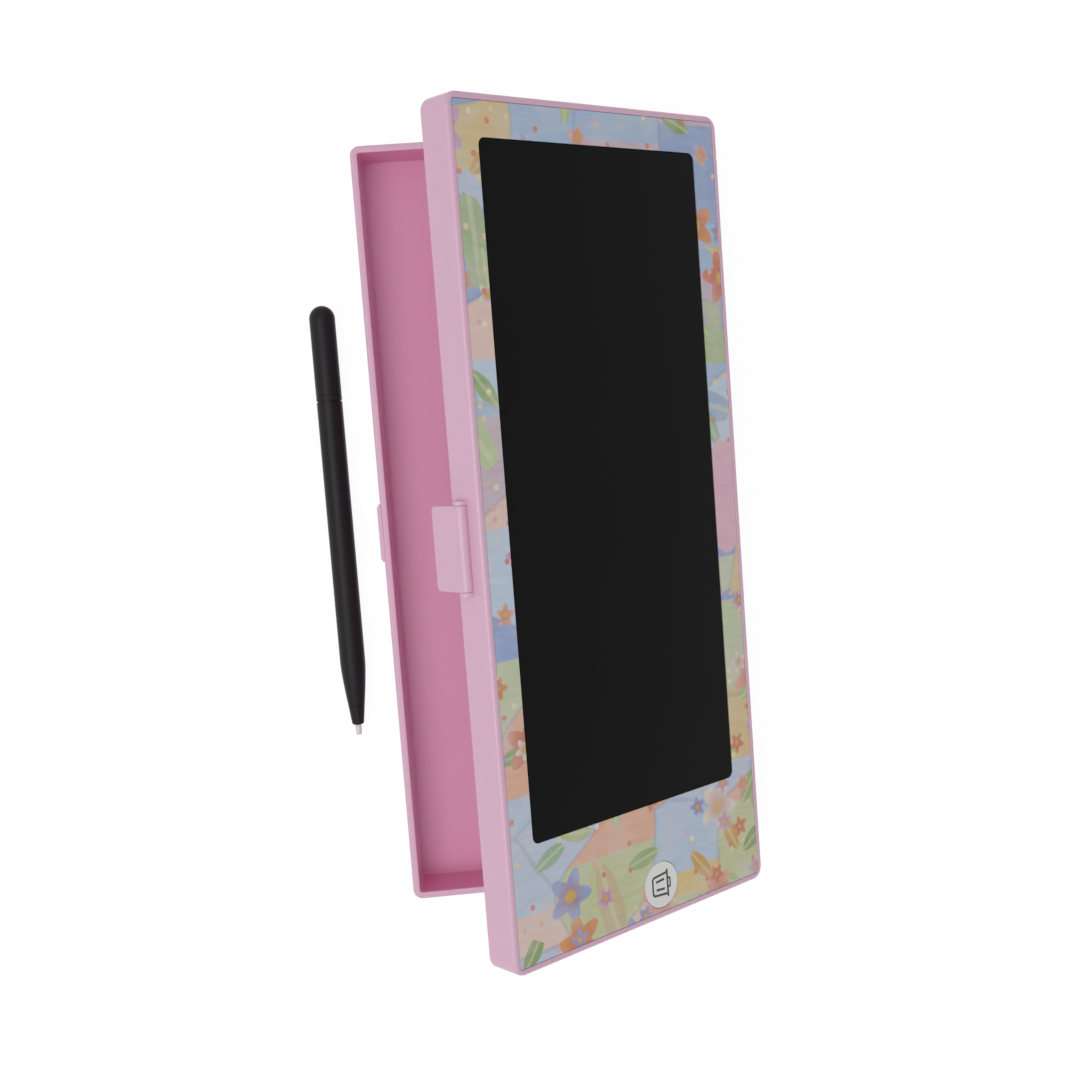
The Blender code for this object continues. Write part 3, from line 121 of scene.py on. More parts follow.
room = bpy.data.worlds.new("white_room")
bpy.context.scene.world = room
room.use_nodes = True
add = node_adder(room.node_tree)
set_inputs(room.node_tree.nodes["Background"], {
    "Color": "#FFFFFF",
    "Strength": add("MapRange", (seen_directly(add), 0.0, 1.0, ROOM_LEVEL, 1.0))})

softbox_data = bpy.data.lights.new("softbox", "AREA")
softbox_data.size = SOFTBOX_SIZE
softbox_data.energy = SOFTBOX_POWER
softbox = bpy.data.objects.new("softbox", softbox_data)
softbox.location = SOFTBOX_PLACE
softbox.rotation_euler = (-SOFTBOX_PLACE).to_track_quat("-Z", "Y").to_euler()
bpy.context.collection.objects.link(softbox)

paper = bpy.data.materials.new("white_paper_sweep")
paper.use_nodes = True
paper_nodes = paper.node_tree.nodes
paper_nodes.remove(paper_nodes["Principled BSDF"])
add = node_adder(paper.node_tree)
share = add("Math", (seen_directly(add), PAPER_WHITE_SHARE), operation="MULTIPLY")
lit = add("BsdfDiffuse", {"Color": "#F4F4F4"})
bright = add("Emission", {"Color": "#FFFFFF", "Strength": PAPER_BRIGHTNESS})
set_inputs(paper_nodes["Material Output"], {"Surface": add("MixShader", (share, lit, bright))})
# The paper's glow is for the camera alone, so the renderer needn't light the case by it.
paper.cycles.emission_sampling = "NONE"
bpy.ops.mesh.primitive_plane_add(size=PAPER_SIZE)
floor = bpy.context.object
floor.name = "paper_sweep"
floor.data.materials.append(paper)
bpy.context.scene.view_settings.view_transform = "Standard"


# Tray: the open lower half of the case, injection moulded in pink ABS with an even wall, a
# slight draft and a rounded floor. A pad on its front wall carries the bead of the catch.
MM = 0.001
CASE_HALF_WIDTH = 52.7 * MM
CASE_WALL = 2.2 * MM
TRAY_HEIGHT = 17.0 * MM
TRAY_FLOOR = 2.0 * MM
TRAY_DRAFT = 0.8 * MM
TRAY_CORNER = 3.0 * MM
TRAY_CAVITY_CORNER = 0.9 * MM
TRAY_FOOT_ROUND = 1.2 * MM
TRAY_FLOOR_ROUND = 0.7 * MM
TRAY_RIM_OUTER_ROUND = 0.8 * MM
TRAY_RIM_INNER_ROUND = 0.3 * MM
SMALLEST_CORNER = 0.2 * MM
CORNER_STEPS = 10
FINE_STEPS = 48
CATCH_X = 0.4 * MM
CATCH_HALF_LENGTH = 9.0 * MM
CATCH_HEIGHT = 6.6 * MM
CATCH_DEPTH = 0.7 * MM
CATCH_EDGE = 0.25 * MM
BEAD_DEPTH = 0.4 * MM
BEAD_EDGE = BEAD_DEPTH * 0.9
BEAD_HEIGHT = 1.8 * MM
BEAD_DROP = 1.2 * MM
EMBED = 0.5 * MM
SLIVER = 0.02 * MM
MERGE_DISTANCE = 0.001 * MM
OVERRUN = 3.0 * MM
FIT = 0.3 * MM
RIM_TURN = radians(50)
SHARP_TURN = radians(35)
FLATS_WEIGHT = 100
LATCH_WALL_NORMAL = 0.5
case_half_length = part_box("tray_shell")[1].x


def arc(centre_inset, centre_z, radius, start_degrees, end_degrees, steps=3):
    """Points (inset, height) along a round edge of a wall's section."""
    turns = [radians(start_degrees + (end_degrees - start_degrees) * i / steps)
             for i in range(steps + 1)]
    return [(centre_inset + radius * cos(turn), centre_z + radius * sin(turn))
            for turn in turns]


def plan_ring(bm, low, high, radius, z):
    """Vertices round a rectangle with rounded corners, anticlockwise seen from above."""
    low_x, low_y, high_x, high_y = (low[0] + radius, low[1] + radius, high[0] - radius,
                                    high[1] - radius)
    ring = []
    for quarter, (x, y) in enumerate(((high_x, high_y), (low_x, high_y), (low_x, low_y),
                                      (high_x, low_y))):
        for step in range(CORNER_STEPS + 1):
            turn = (quarter + step / CORNER_STEPS) * pi / 2
            ring.append(bm.verts.new((x + radius * cos(turn),
                                      y + radius * sin(turn), z)))
    return ring


def skin(bm, rings):
    """Faces from each ring of vertices to the next, and over both ends."""
    for lower, upper in zip(rings, rings[1:]):
        for i in range(len(lower)):
            j = (i + 1) % len(lower)
            bm.faces.new((lower[i], lower[j], upper[j], upper[i]))
    bm.faces.new(rings[0][::-1])
    bm.faces.new(rings[-1])
    return bm


def loft(section, low, high, corner_at):
    """A closed shape whose outline follows a section of (inset, height) points.

    corner_at gives the plan corner's radius for an inset.
    """
    bm = bmesh.new()
    return skin(bm, [plan_ring(bm, (low[0] + inset, low[1] + inset),
                               (high[0] - inset, high[1] - inset),
                               max(corner_at(inset), SMALLEST_CORNER), z)
                     for inset, z in section])


def plate(low, high, corner, edge=0.0, foot_edge=None):
    """A flat plate with rounded plan corners and softened upper and lower edges."""
    foot = edge if foot_edge is None else foot_edge
    section = arc(foot, low[2] + foot, foot, 270, 180) if foot else [(0.0, low[2])]
    section += arc(edge, high[2] - edge, edge, 180, 90) if edge else [(0.0, high[2])]
    return loft(section, low, high, lambda inset: corner - inset)


def round_edges(bm, edges, size, steps, clamp=False):
    bmesh.ops.bevel(bm, geom=edges, offset=size, segments=steps, profile=0.5, affect="EDGES",
                    clamp_overlap=clamp)


def block(low, high, edge=0.0, steps=2):
    """A block between two corners, with all its edges rounded."""
    low, high = Vector(low), Vector(high)
    place = Matrix.Translation((low + high) / 2) @ Matrix.Diagonal((*(high - low), 1.0))
    bm = bmesh.new()
    bmesh.ops.create_cube(bm, size=1.0, matrix=place)
    if edge:
        round_edges(bm, bm.edges[:], edge, steps)
    return bm


def merged(bm):
    bmesh.ops.remove_doubles(bm, verts=bm.verts, dist=MERGE_DISTANCE)
    return bm


def turned(profile, place, along_x=False):
    """A turned shape: a profile of (radius, distance) about an upright or lengthwise axis."""
    bm = bmesh.new()
    rings = []
    for radius, distance in profile:
        rings.append([])
        for i in range(FINE_STEPS):
            turn = 2 * pi * (i + 0.5) / FINE_STEPS
            across, up = radius * cos(turn), radius * sin(turn)
            point = (distance, across, up) if along_x else (across, up, distance)
            rings[-1].append(bm.verts.new(Vector(place) + Vector(point)))
    return merged(skin(bm, rings))


def drum(place, radius, length, along_x=False, edge=0.0):
    """A plain drum from its place onwards, for a boss, a bore or a recess."""
    profile = [(radius - edge, 0.0), (radius, edge), (radius, length - edge),
               (radius - edge, length)]
    return turned(profile if edge else profile[1:3], place, along_x)


def post(spot, radius, bottom, top, edge=0.0):
    """An upright drum between two heights, about a spot of the plan."""
    return drum((spot[0], spot[1], bottom), radius, top - bottom, edge=edge)


def round_rims(bm, edge):
    """Round every rim where two faces meet at a clear angle."""
    rims = [line for line in bm.edges if line.calc_face_angle(0.0) > RIM_TURN]
    round_edges(bm, rims, edge, 3, clamp=True)


def slab(outline, low_x, high_x, edge=0.0):
    """A slab along X between two places, from a closed outline of (y, z) points."""
    bm = bmesh.new()
    end = bm.faces.new([bm.verts.new((low_x, y, z)) for y, z in outline])
    grown = bmesh.ops.extrude_face_region(bm, geom=[end])["geom"]
    bmesh.ops.translate(bm, verts=[item for item in grown if isinstance(item, bmesh.types.BMVert)],
                        vec=(high_x - low_x, 0.0, 0.0))
    bmesh.ops.recalc_face_normals(bm, faces=bm.faces)
    if edge:
        round_rims(bm, edge)
    return bm


def make_object(name, bm, *materials):
    bmesh.ops.recalc_face_normals(bm, faces=bm.faces)
    mesh = bpy.data.meshes.new(name)
    bm.to_mesh(mesh)
    bm.free()
    for material in materials:
        mesh.materials.append(material)
    piece = bpy.data.objects.new(name, mesh)
    bpy.context.collection.objects.link(piece)
    return piece


def plain_mesh(piece):
    """The plain mesh of a piece with its modifiers, or of a curve."""
    graph = bpy.context.evaluated_depsgraph_get()
    return bpy.data.meshes.new_from_object(piece.evaluated_get(graph))


def settle(piece):
    """Turn a piece and its modifiers into a plain mesh."""
    mesh, old, name = plain_mesh(piece), piece.data, piece.name
    piece.modifiers.clear()
    piece.data = mesh
    bpy.data.meshes.remove(old)
    mesh.name = name
    return piece


def combine(piece, operation, *shapes):
    """Cut shapes out of a piece, or melt them on. A shape is a bmesh or another object."""
    for shape in shapes:
        other = make_object("helper", shape) if isinstance(shape, bmesh.types.BMesh) else shape
        boolean = piece.modifiers.new("combine", "BOOLEAN")
        boolean.operation = operation
        boolean.solver = "EXACT"
        boolean.object = other
        settle(piece)
        mesh = other.data
        bpy.data.objects.remove(other)
        bpy.data.meshes.remove(mesh)


def cut(piece, *shapes):
    combine(piece, "DIFFERENCE", *shapes)


def join(piece, *shapes):
    combine(piece, "UNION", *shapes)


def smooth(piece):
    """Shade a piece round over its rounded edges, and keep its flats flat."""
    piece.data.shade_smooth()
    piece.data.set_sharp_from_angle(angle=SHARP_TURN)
    weighted = piece.modifiers.new("flats", "WEIGHTED_NORMAL")
    weighted.keep_sharp = True
    weighted.weight = FLATS_WEIGHT
    return settle(piece)


hinge = next(joint for joint in frame["joints"] if joint["name"] == "lid_hinge")
hinge_point = Vector(hinge["pos_m"])
hinge_turn = radians(hinge["range_deg"][0])
lid_opened = (Matrix.Translation(hinge_point) @ Matrix.Rotation(hinge_turn, 4, "X")
              @ Matrix.Translation(-hinge_point))


def fit(piece, body, slot, *nodes):
    """Smooth a piece and hang it on its body, in place of the plain solids it stands for."""
    smooth(piece)
    if body not in ("tray", "stylus"):
        piece.data.transform(lid_opened)
    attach(piece, body)
    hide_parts(*nodes)


# The drift of the gloss keeps both pinks rougher than 0.28, below which the renderer's
# denoising changes, and would leave an edge on a wide face.
GLOSS_DRIFT = 0.04
PLASTIC_IOR = 1.54
GRAIN_STRENGTH = 0.5
# Nearly all of a noise lies between these values.
NOISE_SPAN = (0.3, 0.7)


def new_finish(name):
    """A new material, the function that adds its nodes, the place on its piece, its shader."""
    material = bpy.data.materials.new(name)
    material.use_nodes = True
    add = node_adder(material.node_tree)
    return (material, add, add("TexCoord").outputs["Object"],
            material.node_tree.nodes["Principled BSDF"])


def moulded_plastic(name, shade, tint, roughness, cloud, grain, depth, more=None):
    """Moulded plastic: its colour drifts a little, and a fine grain breaks its gloss.

    The size of its clouds, and the width and depth of its grain, are in millimetres.
    """
    material, add, place, shader = new_finish(name)
    clouds, grains = [add("TexNoise", {"Vector": place, "Scale": 1 / (size * MM),
                                       "Detail": detail})
                      for size, detail in ((cloud, 3.0), (grain, 1.0))]
    set_inputs(shader, {
        "Base Color": add("Mix", {0: clouds, 6: shade, 7: tint}, data_type="RGBA"),
        "Roughness": add("MapRange", (clouds, *NOISE_SPAN, roughness - GLOSS_DRIFT,
                                      roughness + GLOSS_DRIFT)),
        "Normal": add("Bump", {"Height": grains, "Distance": depth * MM,
                               "Strength": GRAIN_STRENGTH}),
        "IOR": PLASTIC_IOR, **(more or {})})
    return material


# Pink ABS, moulded against a fine spark-eroded tool: an even milky pink with a satin sheen,
# through which red light strays a few millimetres, so that walls glow a deeper rose inside.
# The real grain is about 0.1 mm; it is drawn three times as coarse, so that it shows at all.
PINK_STRAY_SHARES = (1.0, 0.4, 0.6)
pink_abs = moulded_plastic("pink_moulded_abs", "#E9BCD4", "#ECC0D8", 0.32, 55, 0.3, 0.006, {
    "Subsurface Weight": 0.2, "Subsurface Radius": PINK_STRAY_SHARES,
    "Subsurface Scale": 3.0 * MM})
# The same pink off the smoother core that forms the cavity: a shallower grain, and a deeper rose
# base colour that is painted shade and painted bounced light of the hollow. Light strays further
# through its walls.
cavity_abs_painted_shade = moulded_plastic("pink_abs_with_painted_cavity_shade", "#E89CBF", "#EAA1C4", 0.36, 55, 0.3, 0.003, {
    "Subsurface Weight": 0.45, "Subsurface Radius": PINK_STRAY_SHARES,
    "Subsurface Scale": 6.0 * MM})


def tray_corner(inset):
    """The tray's plan corners: well rounded outside, and nearly sharp in the cavity."""
    if inset <= TRAY_FOOT_ROUND:
        return TRAY_CORNER - inset
    return TRAY_CAVITY_CORNER - max(inset - CASE_WALL - TRAY_DRAFT, 0.0)


case_low, case_high = (-case_half_length, -CASE_HALF_WIDTH), (case_half_length, CASE_HALF_WIDTH)
section = arc(TRAY_FOOT_ROUND, TRAY_FOOT_ROUND, TRAY_FOOT_ROUND, 270, 180, 5)
section += arc(TRAY_RIM_OUTER_ROUND, TRAY_HEIGHT - TRAY_RIM_OUTER_ROUND, TRAY_RIM_OUTER_ROUND,
               180, 90, 5)
section += arc(CASE_WALL - TRAY_RIM_INNER_ROUND, TRAY_HEIGHT - TRAY_RIM_INNER_ROUND,
               TRAY_RIM_INNER_ROUND, 90, 0)
section += arc(CASE_WALL + TRAY_DRAFT + TRAY_FLOOR_ROUND, TRAY_FLOOR + TRAY_FLOOR_ROUND,
               TRAY_FLOOR_ROUND, 180, 270, 6)
tray = make_object("tray_basin", loft(section, case_low, case_high, tray_corner), pink_abs,
                   cavity_abs_painted_shade)
# The cavity's faces get the deeper pink of painted shade, but for the latch side's wall, whose face
# looks to the hinge.
for face in tray.data.polygons:
    spots = [tray.data.vertices[i].co for i in face.vertices]
    if face.normal.y < LATCH_WALL_NORMAL and all(
            abs(spot.x) < case_half_length - CASE_WALL + SLIVER
            and abs(spot.y) < CASE_HALF_WIDTH - CASE_WALL + SLIVER
            and spot.z > TRAY_FLOOR - SLIVER for spot in spots):
        face.material_index = 1
catch_front = -CASE_HALF_WIDTH - CATCH_DEPTH
bead_top = TRAY_HEIGHT - BEAD_DROP
catch_pad = block((CATCH_X - CATCH_HALF_LENGTH, catch_front, TRAY_HEIGHT - CATCH_HEIGHT),
                  (CATCH_X + CATCH_HALF_LENGTH, -CASE_HALF_WIDTH + EMBED, TRAY_HEIGHT),
                  CATCH_EDGE)
catch_bead = block((CATCH_X - CATCH_HALF_LENGTH + EMBED, catch_front - BEAD_DEPTH,
                    bead_top - BEAD_HEIGHT),
                   (CATCH_X + CATCH_HALF_LENGTH - EMBED, -CASE_HALF_WIDTH, bead_top),
                   BEAD_EDGE, 3)
join(tray, catch_pad, catch_bead)


# Hinge knuckles: short pink tubes on webs, moulded with the tray (outer pairs) and with the
# lid (middle ones), that interleave at two stations of the back wall round a steel pin.
KNUCKLE_RADIUS = 2.5 * MM
KNUCKLE_BORE = 1.25 * MM
KNUCKLE_PILOT_BORE = 0.8 * MM
KNUCKLE_EDGE = 0.2 * MM
KNUCKLE_RELIEF = 0.4 * MM
KNUCKLE_SIDES = 40
HINGE_STATION = 78.0 * MM
LID_KNUCKLE_LENGTH = 14.0 * MM
TRAY_KNUCKLE_LENGTH = 6.0 * MM
WEB_HEIGHT = 4.5 * MM
WEB_REACH = 1.2 * MM
WEB_DROP = 0.1 * MM


def geometry_tree(name, **sizes):
    """A geometry tree, the function that adds its nodes, and its named inputs, kind by kind."""
    tree = bpy.data.node_groups.new(name, "GeometryNodeTree")
    tree.interface.new_socket("Geometry", in_out="OUTPUT", socket_type="NodeSocketGeometry")
    for kind, labels in {"Geometry": "Geometry", "Material": "Material", **sizes}.items():
        for label in labels.split(", "):
            tree.interface.new_socket(label, in_out="INPUT", socket_type=f"NodeSocket{kind}")
    add = node_adder(tree)
    return tree, add, add("NodeGroupInput").outputs


def close_tree(add, geometry, place, material):
    """Move what a tree has made to its place, make it real, and give it its material."""
    moved = add("GeometryNodeTransform", {"Geometry": geometry, "Translation": place})
    real = add("GeometryNodeRealizeInstances", (moved,))
    painted = add("GeometryNodeSetMaterial", {"Geometry": real, "Material": material})
    add("NodeGroupOutput", (painted,))


def grow(piece, tree, values):
    """Run a geometry tree on a piece, with its inputs set, and keep the plain mesh."""
    nodes = piece.modifiers.new("grow", "NODES")
    nodes.node_group = tree
    for item in tree.interface.items_tree:
        if item.in_out == "INPUT" and item.name in values:
            nodes[item.identifier] = values[item.name]
    return settle(piece)


knuckle_tree, add, sizes = geometry_tree(
    "hinge_knuckles", Int="Stations, Knuckles", Float="Length, Radius, Bore, Edge",
    Vector="Axis, Station Start, Station Step, Knuckle Start, Knuckle Step, Web Size, Web Place")
tube_wall = add("Math", (sizes["Radius"], sizes["Bore"]), operation="SUBTRACT")
tube_middle = add("Math", (tube_wall, 0.5, sizes["Bore"]), operation="MULTIPLY_ADD")
tube_path = add("GeometryNodeCurvePrimitiveCircle",
                {"Resolution": KNUCKLE_SIDES, "Radius": tube_middle})
tube_outline = add("GeometryNodeCurvePrimitiveQuadrilateral",
                   {"Width": tube_wall, "Height": sizes["Length"]})
tube_rounded = add("GeometryNodeFilletCurve",
                   {"Curve": tube_outline, "Count": 3, "Radius": sizes["Edge"]}, mode="POLY")
tube = add("GeometryNodeCurveToMesh", {"Curve": tube_path, "Profile Curve": tube_rounded})
tube_along_x = add("GeometryNodeTransform",
                   {"Geometry": tube, "Rotation": (0.0, pi / 2, 0.0)})
web = add("GeometryNodeMeshCube", {"Size": sizes["Web Size"]})
web_placed = add("GeometryNodeTransform", {"Geometry": web, "Translation": sizes["Web Place"]})
knuckle = add("GeometryNodeMeshBoolean", {"Mesh 2": [tube_along_x, web_placed]},
              operation="UNION", solver="EXACT")
stations, row = [add("GeometryNodeMeshLine",
                     {"Count": sizes[f"{kind}s"], "Start Location": sizes[f"{kind} Start"],
                      "Offset": sizes[f"{kind} Step"]}) for kind in ("Station", "Knuckle")]
rows = add("GeometryNodeInstanceOnPoints", {"Points": stations, "Instance": row})
places = add("GeometryNodeRealizeInstances", (rows,))
knuckles = add("GeometryNodeInstanceOnPoints", {"Points": places, "Instance": knuckle})
close_tree(add, knuckles, sizes["Axis"], sizes["Material"])

wall_to_axis = hinge_point.y - CASE_HALF_WIDTH + EMBED
knuckle_pitch = (LID_KNUCKLE_LENGTH + TRAY_KNUCKLE_LENGTH) / 2 + FIT
pin_span = LID_KNUCKLE_LENGTH + 2 * (TRAY_KNUCKLE_LENGTH + FIT)


def hinge_knuckles(name, count, length, way):
    """Knuckles for both stations. way is 1 where their webs climb, and -1 where they hang."""
    first = -knuckle_pitch * (count - 1)
    return grow(make_object(name, bmesh.new()), knuckle_tree, {
        "Material": pink_abs, "Axis": hinge_point, "Stations": 2,
        "Station Start": (-HINGE_STATION, 0.0, 0.0), "Station Step": (2 * HINGE_STATION, 0.0, 0.0),
        "Knuckles": count, "Knuckle Start": (first, 0.0, 0.0),
        "Knuckle Step": (2 * knuckle_pitch, 0.0, 0.0), "Length": length,
        "Radius": KNUCKLE_RADIUS, "Bore": KNUCKLE_PILOT_BORE, "Edge": KNUCKLE_EDGE,
        "Web Size": (length - 2 * KNUCKLE_EDGE, wall_to_axis + WEB_REACH, WEB_HEIGHT),
        "Web Place": (0.0, (WEB_REACH - wall_to_axis) / 2, way * (WEB_HEIGHT / 2 + WEB_DROP))})


def along_hinge(length, radius, offsets=(0.0,)):
    """Drums on the hinge's axis, about places measured from each station."""
    return [drum((station + offset - length / 2, hinge_point.y, hinge_point.z), radius, length,
                 along_x=True)
            for station in (-HINGE_STATION, HINGE_STATION) for offset in offsets]


relief_radius = KNUCKLE_RADIUS + KNUCKLE_RELIEF
cut(tray,
    *along_hinge(LID_KNUCKLE_LENGTH + 2 * (FIT - SLIVER), relief_radius))
join(tray, hinge_knuckles("tray_knuckles", 2, TRAY_KNUCKLE_LENGTH, -1))
cut(tray, *along_hinge(pin_span + OVERRUN, KNUCKLE_BORE))
fit(tray, "tray", "pink_shell", "tray_shell")


# Hinge pins: plain steel wire, pressed through the knuckles of each station, and the thinner
# wire that the latch flap turns on. They keep their own solids, with a drawn wire's finish.
METAL_GLOSS_SHARES = (0.7, 1.4)
STREAK_STRENGTH = 0.4


def coat(material, *nodes):
    """Give its material to a plain solid that is kept as it is."""
    for node in nodes:
        frame["nodes"][node].data.materials.clear()
        frame["nodes"][node].data.materials.append(material)


def metal(name, colour, roughness, stretch, streak, depth):
    """Bare or plated metal, whose drawn or ground streaks run along X, in millimetres."""
    material, add, place, shader = new_finish(name)
    stretched = add("Mapping", {"Vector": place, "Scale": (1 / stretch, 1.0, 1.0)})
    streaks = add("TexNoise", {"Vector": stretched, "Scale": 1 / (streak * MM), "Detail": 4.0})
    low, high = [roughness * share for share in METAL_GLOSS_SHARES]
    set_inputs(shader, {
        "Base Color": colour, "Metallic": 1.0,
        "Roughness": add("MapRange", (streaks, 0.0, 1.0, low, high)),
        "Normal": add("Bump", {"Height": streaks, "Distance": depth * MM,
                               "Strength": STREAK_STRENGTH})})
    return material


# Drawn steel wire: bright grey, with fine drawing marks along its length.
drawn_steel = metal("drawn_steel_wire", "#C9C9CB", 0.28, 12, 0.12, 0.004)
coat(drawn_steel, "hinge_pin_far", "hinge_pin_near", "latch_pin")


# Lid frame: the moulded pink shell of the lid, a thin wall with a rounded rim round the
# printed panel, a deck that carries the film, and a bay under it for the electronics.
LID_CORNER = 4.0 * MM
LID_INNER_CORNER = 1.0 * MM
LID_EDGE_ROUND = 1.1 * MM
LID_FOOT_ROUND = 0.25 * MM
RIM_WIDTH = 1.9 * MM
RIM_INNER_ROUND = 0.15 * MM
DECK_THICKNESS = 1.0 * MM
COVER_THICKNESS = 1.6 * MM
SEAT_BOSS_HEIGHT = 0.8 * MM
BOSS_RADIUS = 2.6 * MM
SCREW_BORE = 1.15 * MM
SCREW_REACH = 4.9 * MM
BAY_START = 2.5 * MM
BAY_END_WALL = 1.2 * MM
BAY_SIDE_WALL = 1.6 * MM
BAY_ROOF = 1.2 * MM
RIBBON_SLOT_REACH = 3.8 * MM
BUTTON_FLANGE_RADIUS = 7.6 * MM
BARREL_RADIUS = 1.85 * MM
LUG_THICKNESS = 1.0 * MM
LUG_EDGE = 0.25 * MM
LATCH_GAP = 0.03 * MM
LATCH_PIN_BORE = 0.85 * MM
lid_shut = lid_opened.inverted()


def shut_box(node):
    """A lid node's lowest and highest corners, with the lid turned back to shut."""
    points = [lid_shut @ vert.co for vert in frame["nodes"][node].data.vertices]
    return Vector(map(min, *points)), Vector(map(max, *points))


panel_low, panel_high = shut_box("front_panel")
film_low, film_high = shut_box("writing_film")
cover_low, cover_high = shut_box("inner_cover")
button_low, button_high = shut_box("button_cap")
ribbon_low, ribbon_high = shut_box("film_ribbon")
flap_low, flap_high = shut_box("latch_flap")
screw_boxes = [shut_box(f"cover_screw_{i}") for i in range(1, 7)]
screw_places = [((low + high) / 2).xy for low, high in screw_boxes]
button_place = (button_low + button_high) / 2
lid_base = TRAY_HEIGHT + FIT
lid_top = panel_high.z + FIT / 2
film_top = panel_low.z - FIT
pocket_floor = shut_box("film_backing")[0].z - FIT
deck_bottom = pocket_floor - DECK_THICKNESS
bay_ceiling = film_top - BAY_ROOF
bay_low_x = film_high.x + BAY_START
bay_high_x = case_half_length - CASE_WALL - BAY_END_WALL
bay_half_width = CASE_HALF_WIDTH - CASE_WALL - BAY_SIDE_WALL

section = [(CASE_WALL, deck_bottom)]
section += arc(CASE_WALL - LID_FOOT_ROUND, lid_base + LID_FOOT_ROUND, LID_FOOT_ROUND, 0, -90)
section += arc(LID_FOOT_ROUND, lid_base + LID_FOOT_ROUND, LID_FOOT_ROUND, -90, -180)
section += arc(LID_EDGE_ROUND, lid_top - LID_EDGE_ROUND, LID_EDGE_ROUND, 180, 90, 7)
section += arc(RIM_WIDTH - RIM_INNER_ROUND, lid_top - RIM_INNER_ROUND, RIM_INNER_ROUND, 90, 0)
section += [(RIM_WIDTH, film_top)]
lid = make_object("lid_frame_shell", loft(
    section, case_low, case_high,
    lambda inset: LID_CORNER - inset if inset <= LID_EDGE_ROUND else LID_INNER_CORNER), pink_abs)
cut(lid,
    block((film_low.x - FIT, film_low.y - FIT, pocket_floor),
          (film_high.x + FIT, film_high.y + FIT, lid_top + OVERRUN)),
    plate((bay_low_x, -bay_half_width, lid_base), (bay_high_x, bay_half_width, bay_ceiling),
          LID_INNER_CORNER),
    post(button_place, BUTTON_FLANGE_RADIUS + FIT, lid_base, lid_top + OVERRUN),
    block((film_high.x - FIT, ribbon_low.y - FIT, lid_base),
          (ribbon_low.x + RIBBON_SLOT_REACH + FIT, ribbon_high.y + FIT, lid_top + OVERRUN)))
boss_bottom = cover_low.z + COVER_THICKNESS + SEAT_BOSS_HEIGHT + FIT
for spot in screw_places:
    carrier = bay_ceiling if spot.x > bay_low_x else deck_bottom
    join(lid, post(spot, BOSS_RADIUS, boss_bottom, carrier + EMBED))
    cut(lid, post(spot, SCREW_BORE, lid_base, cover_low.z + SCREW_REACH))

cut(lid,
    *along_hinge(TRAY_KNUCKLE_LENGTH + 2 * (FIT - SLIVER), relief_radius,
                 (-knuckle_pitch, knuckle_pitch)))
join(lid, hinge_knuckles("lid_knuckles", 1, LID_KNUCKLE_LENGTH, 1))
cut(lid, *along_hinge(pin_span, KNUCKLE_BORE))

barrel = Vector((CATCH_X, flap_low.y + BARREL_RADIUS, flap_high.z - BARREL_RADIUS))
flap_half_length = (flap_high.x - flap_low.x) / 2
recess_half_length = flap_half_length + LATCH_GAP - SLIVER


def along_latch(radius, half_length):
    """A drum on the latch's axis."""
    return drum(barrel - Vector((half_length, 0.0, 0.0)), radius, 2 * half_length, along_x=True)


cut(lid, along_latch(BARREL_RADIUS + LATCH_GAP, recess_half_length))
lug_width = LUG_THICKNESS + FIT - LATCH_GAP
lug_turns = [pi * i / CORNER_STEPS for i in range(CORNER_STEPS + 1)]
lug_outline = [(barrel.y - BARREL_RADIUS * sin(turn), barrel.z + BARREL_RADIUS * cos(turn))
               for turn in lug_turns]
lug_outline += [(-CASE_HALF_WIDTH + EMBED, barrel.z - BARREL_RADIUS),
                (-CASE_HALF_WIDTH + EMBED, barrel.z + BARREL_RADIUS)]
for left in (barrel.x - flap_half_length - LATCH_GAP - lug_width,
             barrel.x + flap_half_length + LATCH_GAP):
    join(lid, slab(lug_outline, left, left + lug_width, LUG_EDGE))
cut(lid, along_latch(LATCH_PIN_BORE, flap_half_length + OVERRUN))
fit(lid, "lid", "pink_shell", "lid_frame")


# Front panel: a clear sheet, printed behind with pastel blossoms and leaves, glued inside the
# rim. It is die cut with the writing window and a round hole for the erase button.
PANEL_EDGE = 0.08 * MM
PANEL_CORNER = 0.9 * MM
PANEL_GAP = 0.12 * MM
WINDOW_LOW = Vector((-108.4, -42.6)) * MM
WINDOW_HIGH = Vector((84.5, 41.7)) * MM
WINDOW_CORNER = 2.2 * MM
BUTTON_HOLE_RADIUS = 7.14 * MM


def drawn(name, lines, closed, **settings):
    """The shape of a curve along lines of plan points."""
    curve = bpy.data.curves.new(name, "CURVE")
    for key, value in settings.items():
        setattr(curve, key, value)
    for line in lines:
        spline = curve.splines.new("POLY")
        spline.points.add(len(line) - 1)
        for point, (x, y) in zip(spline.points, line):
            point.co = (x, y, 0.0, 1.0)
        spline.use_cyclic_u = closed
    wire = bpy.data.objects.new(name, curve)
    bpy.context.collection.objects.link(wire)
    mesh = plain_mesh(wire)
    bpy.data.curves.remove(curve)
    bm = bmesh.new()
    bm.from_mesh(mesh)
    bpy.data.meshes.remove(mesh)
    return merged(bm)


def plan_loop(low, high, radius):
    """The plan points of a rectangle with rounded corners."""
    bm = bmesh.new()
    points = [tuple(vert.co.xy) for vert in plan_ring(bm, low, high, radius, 0.0)]
    bm.free()
    return points


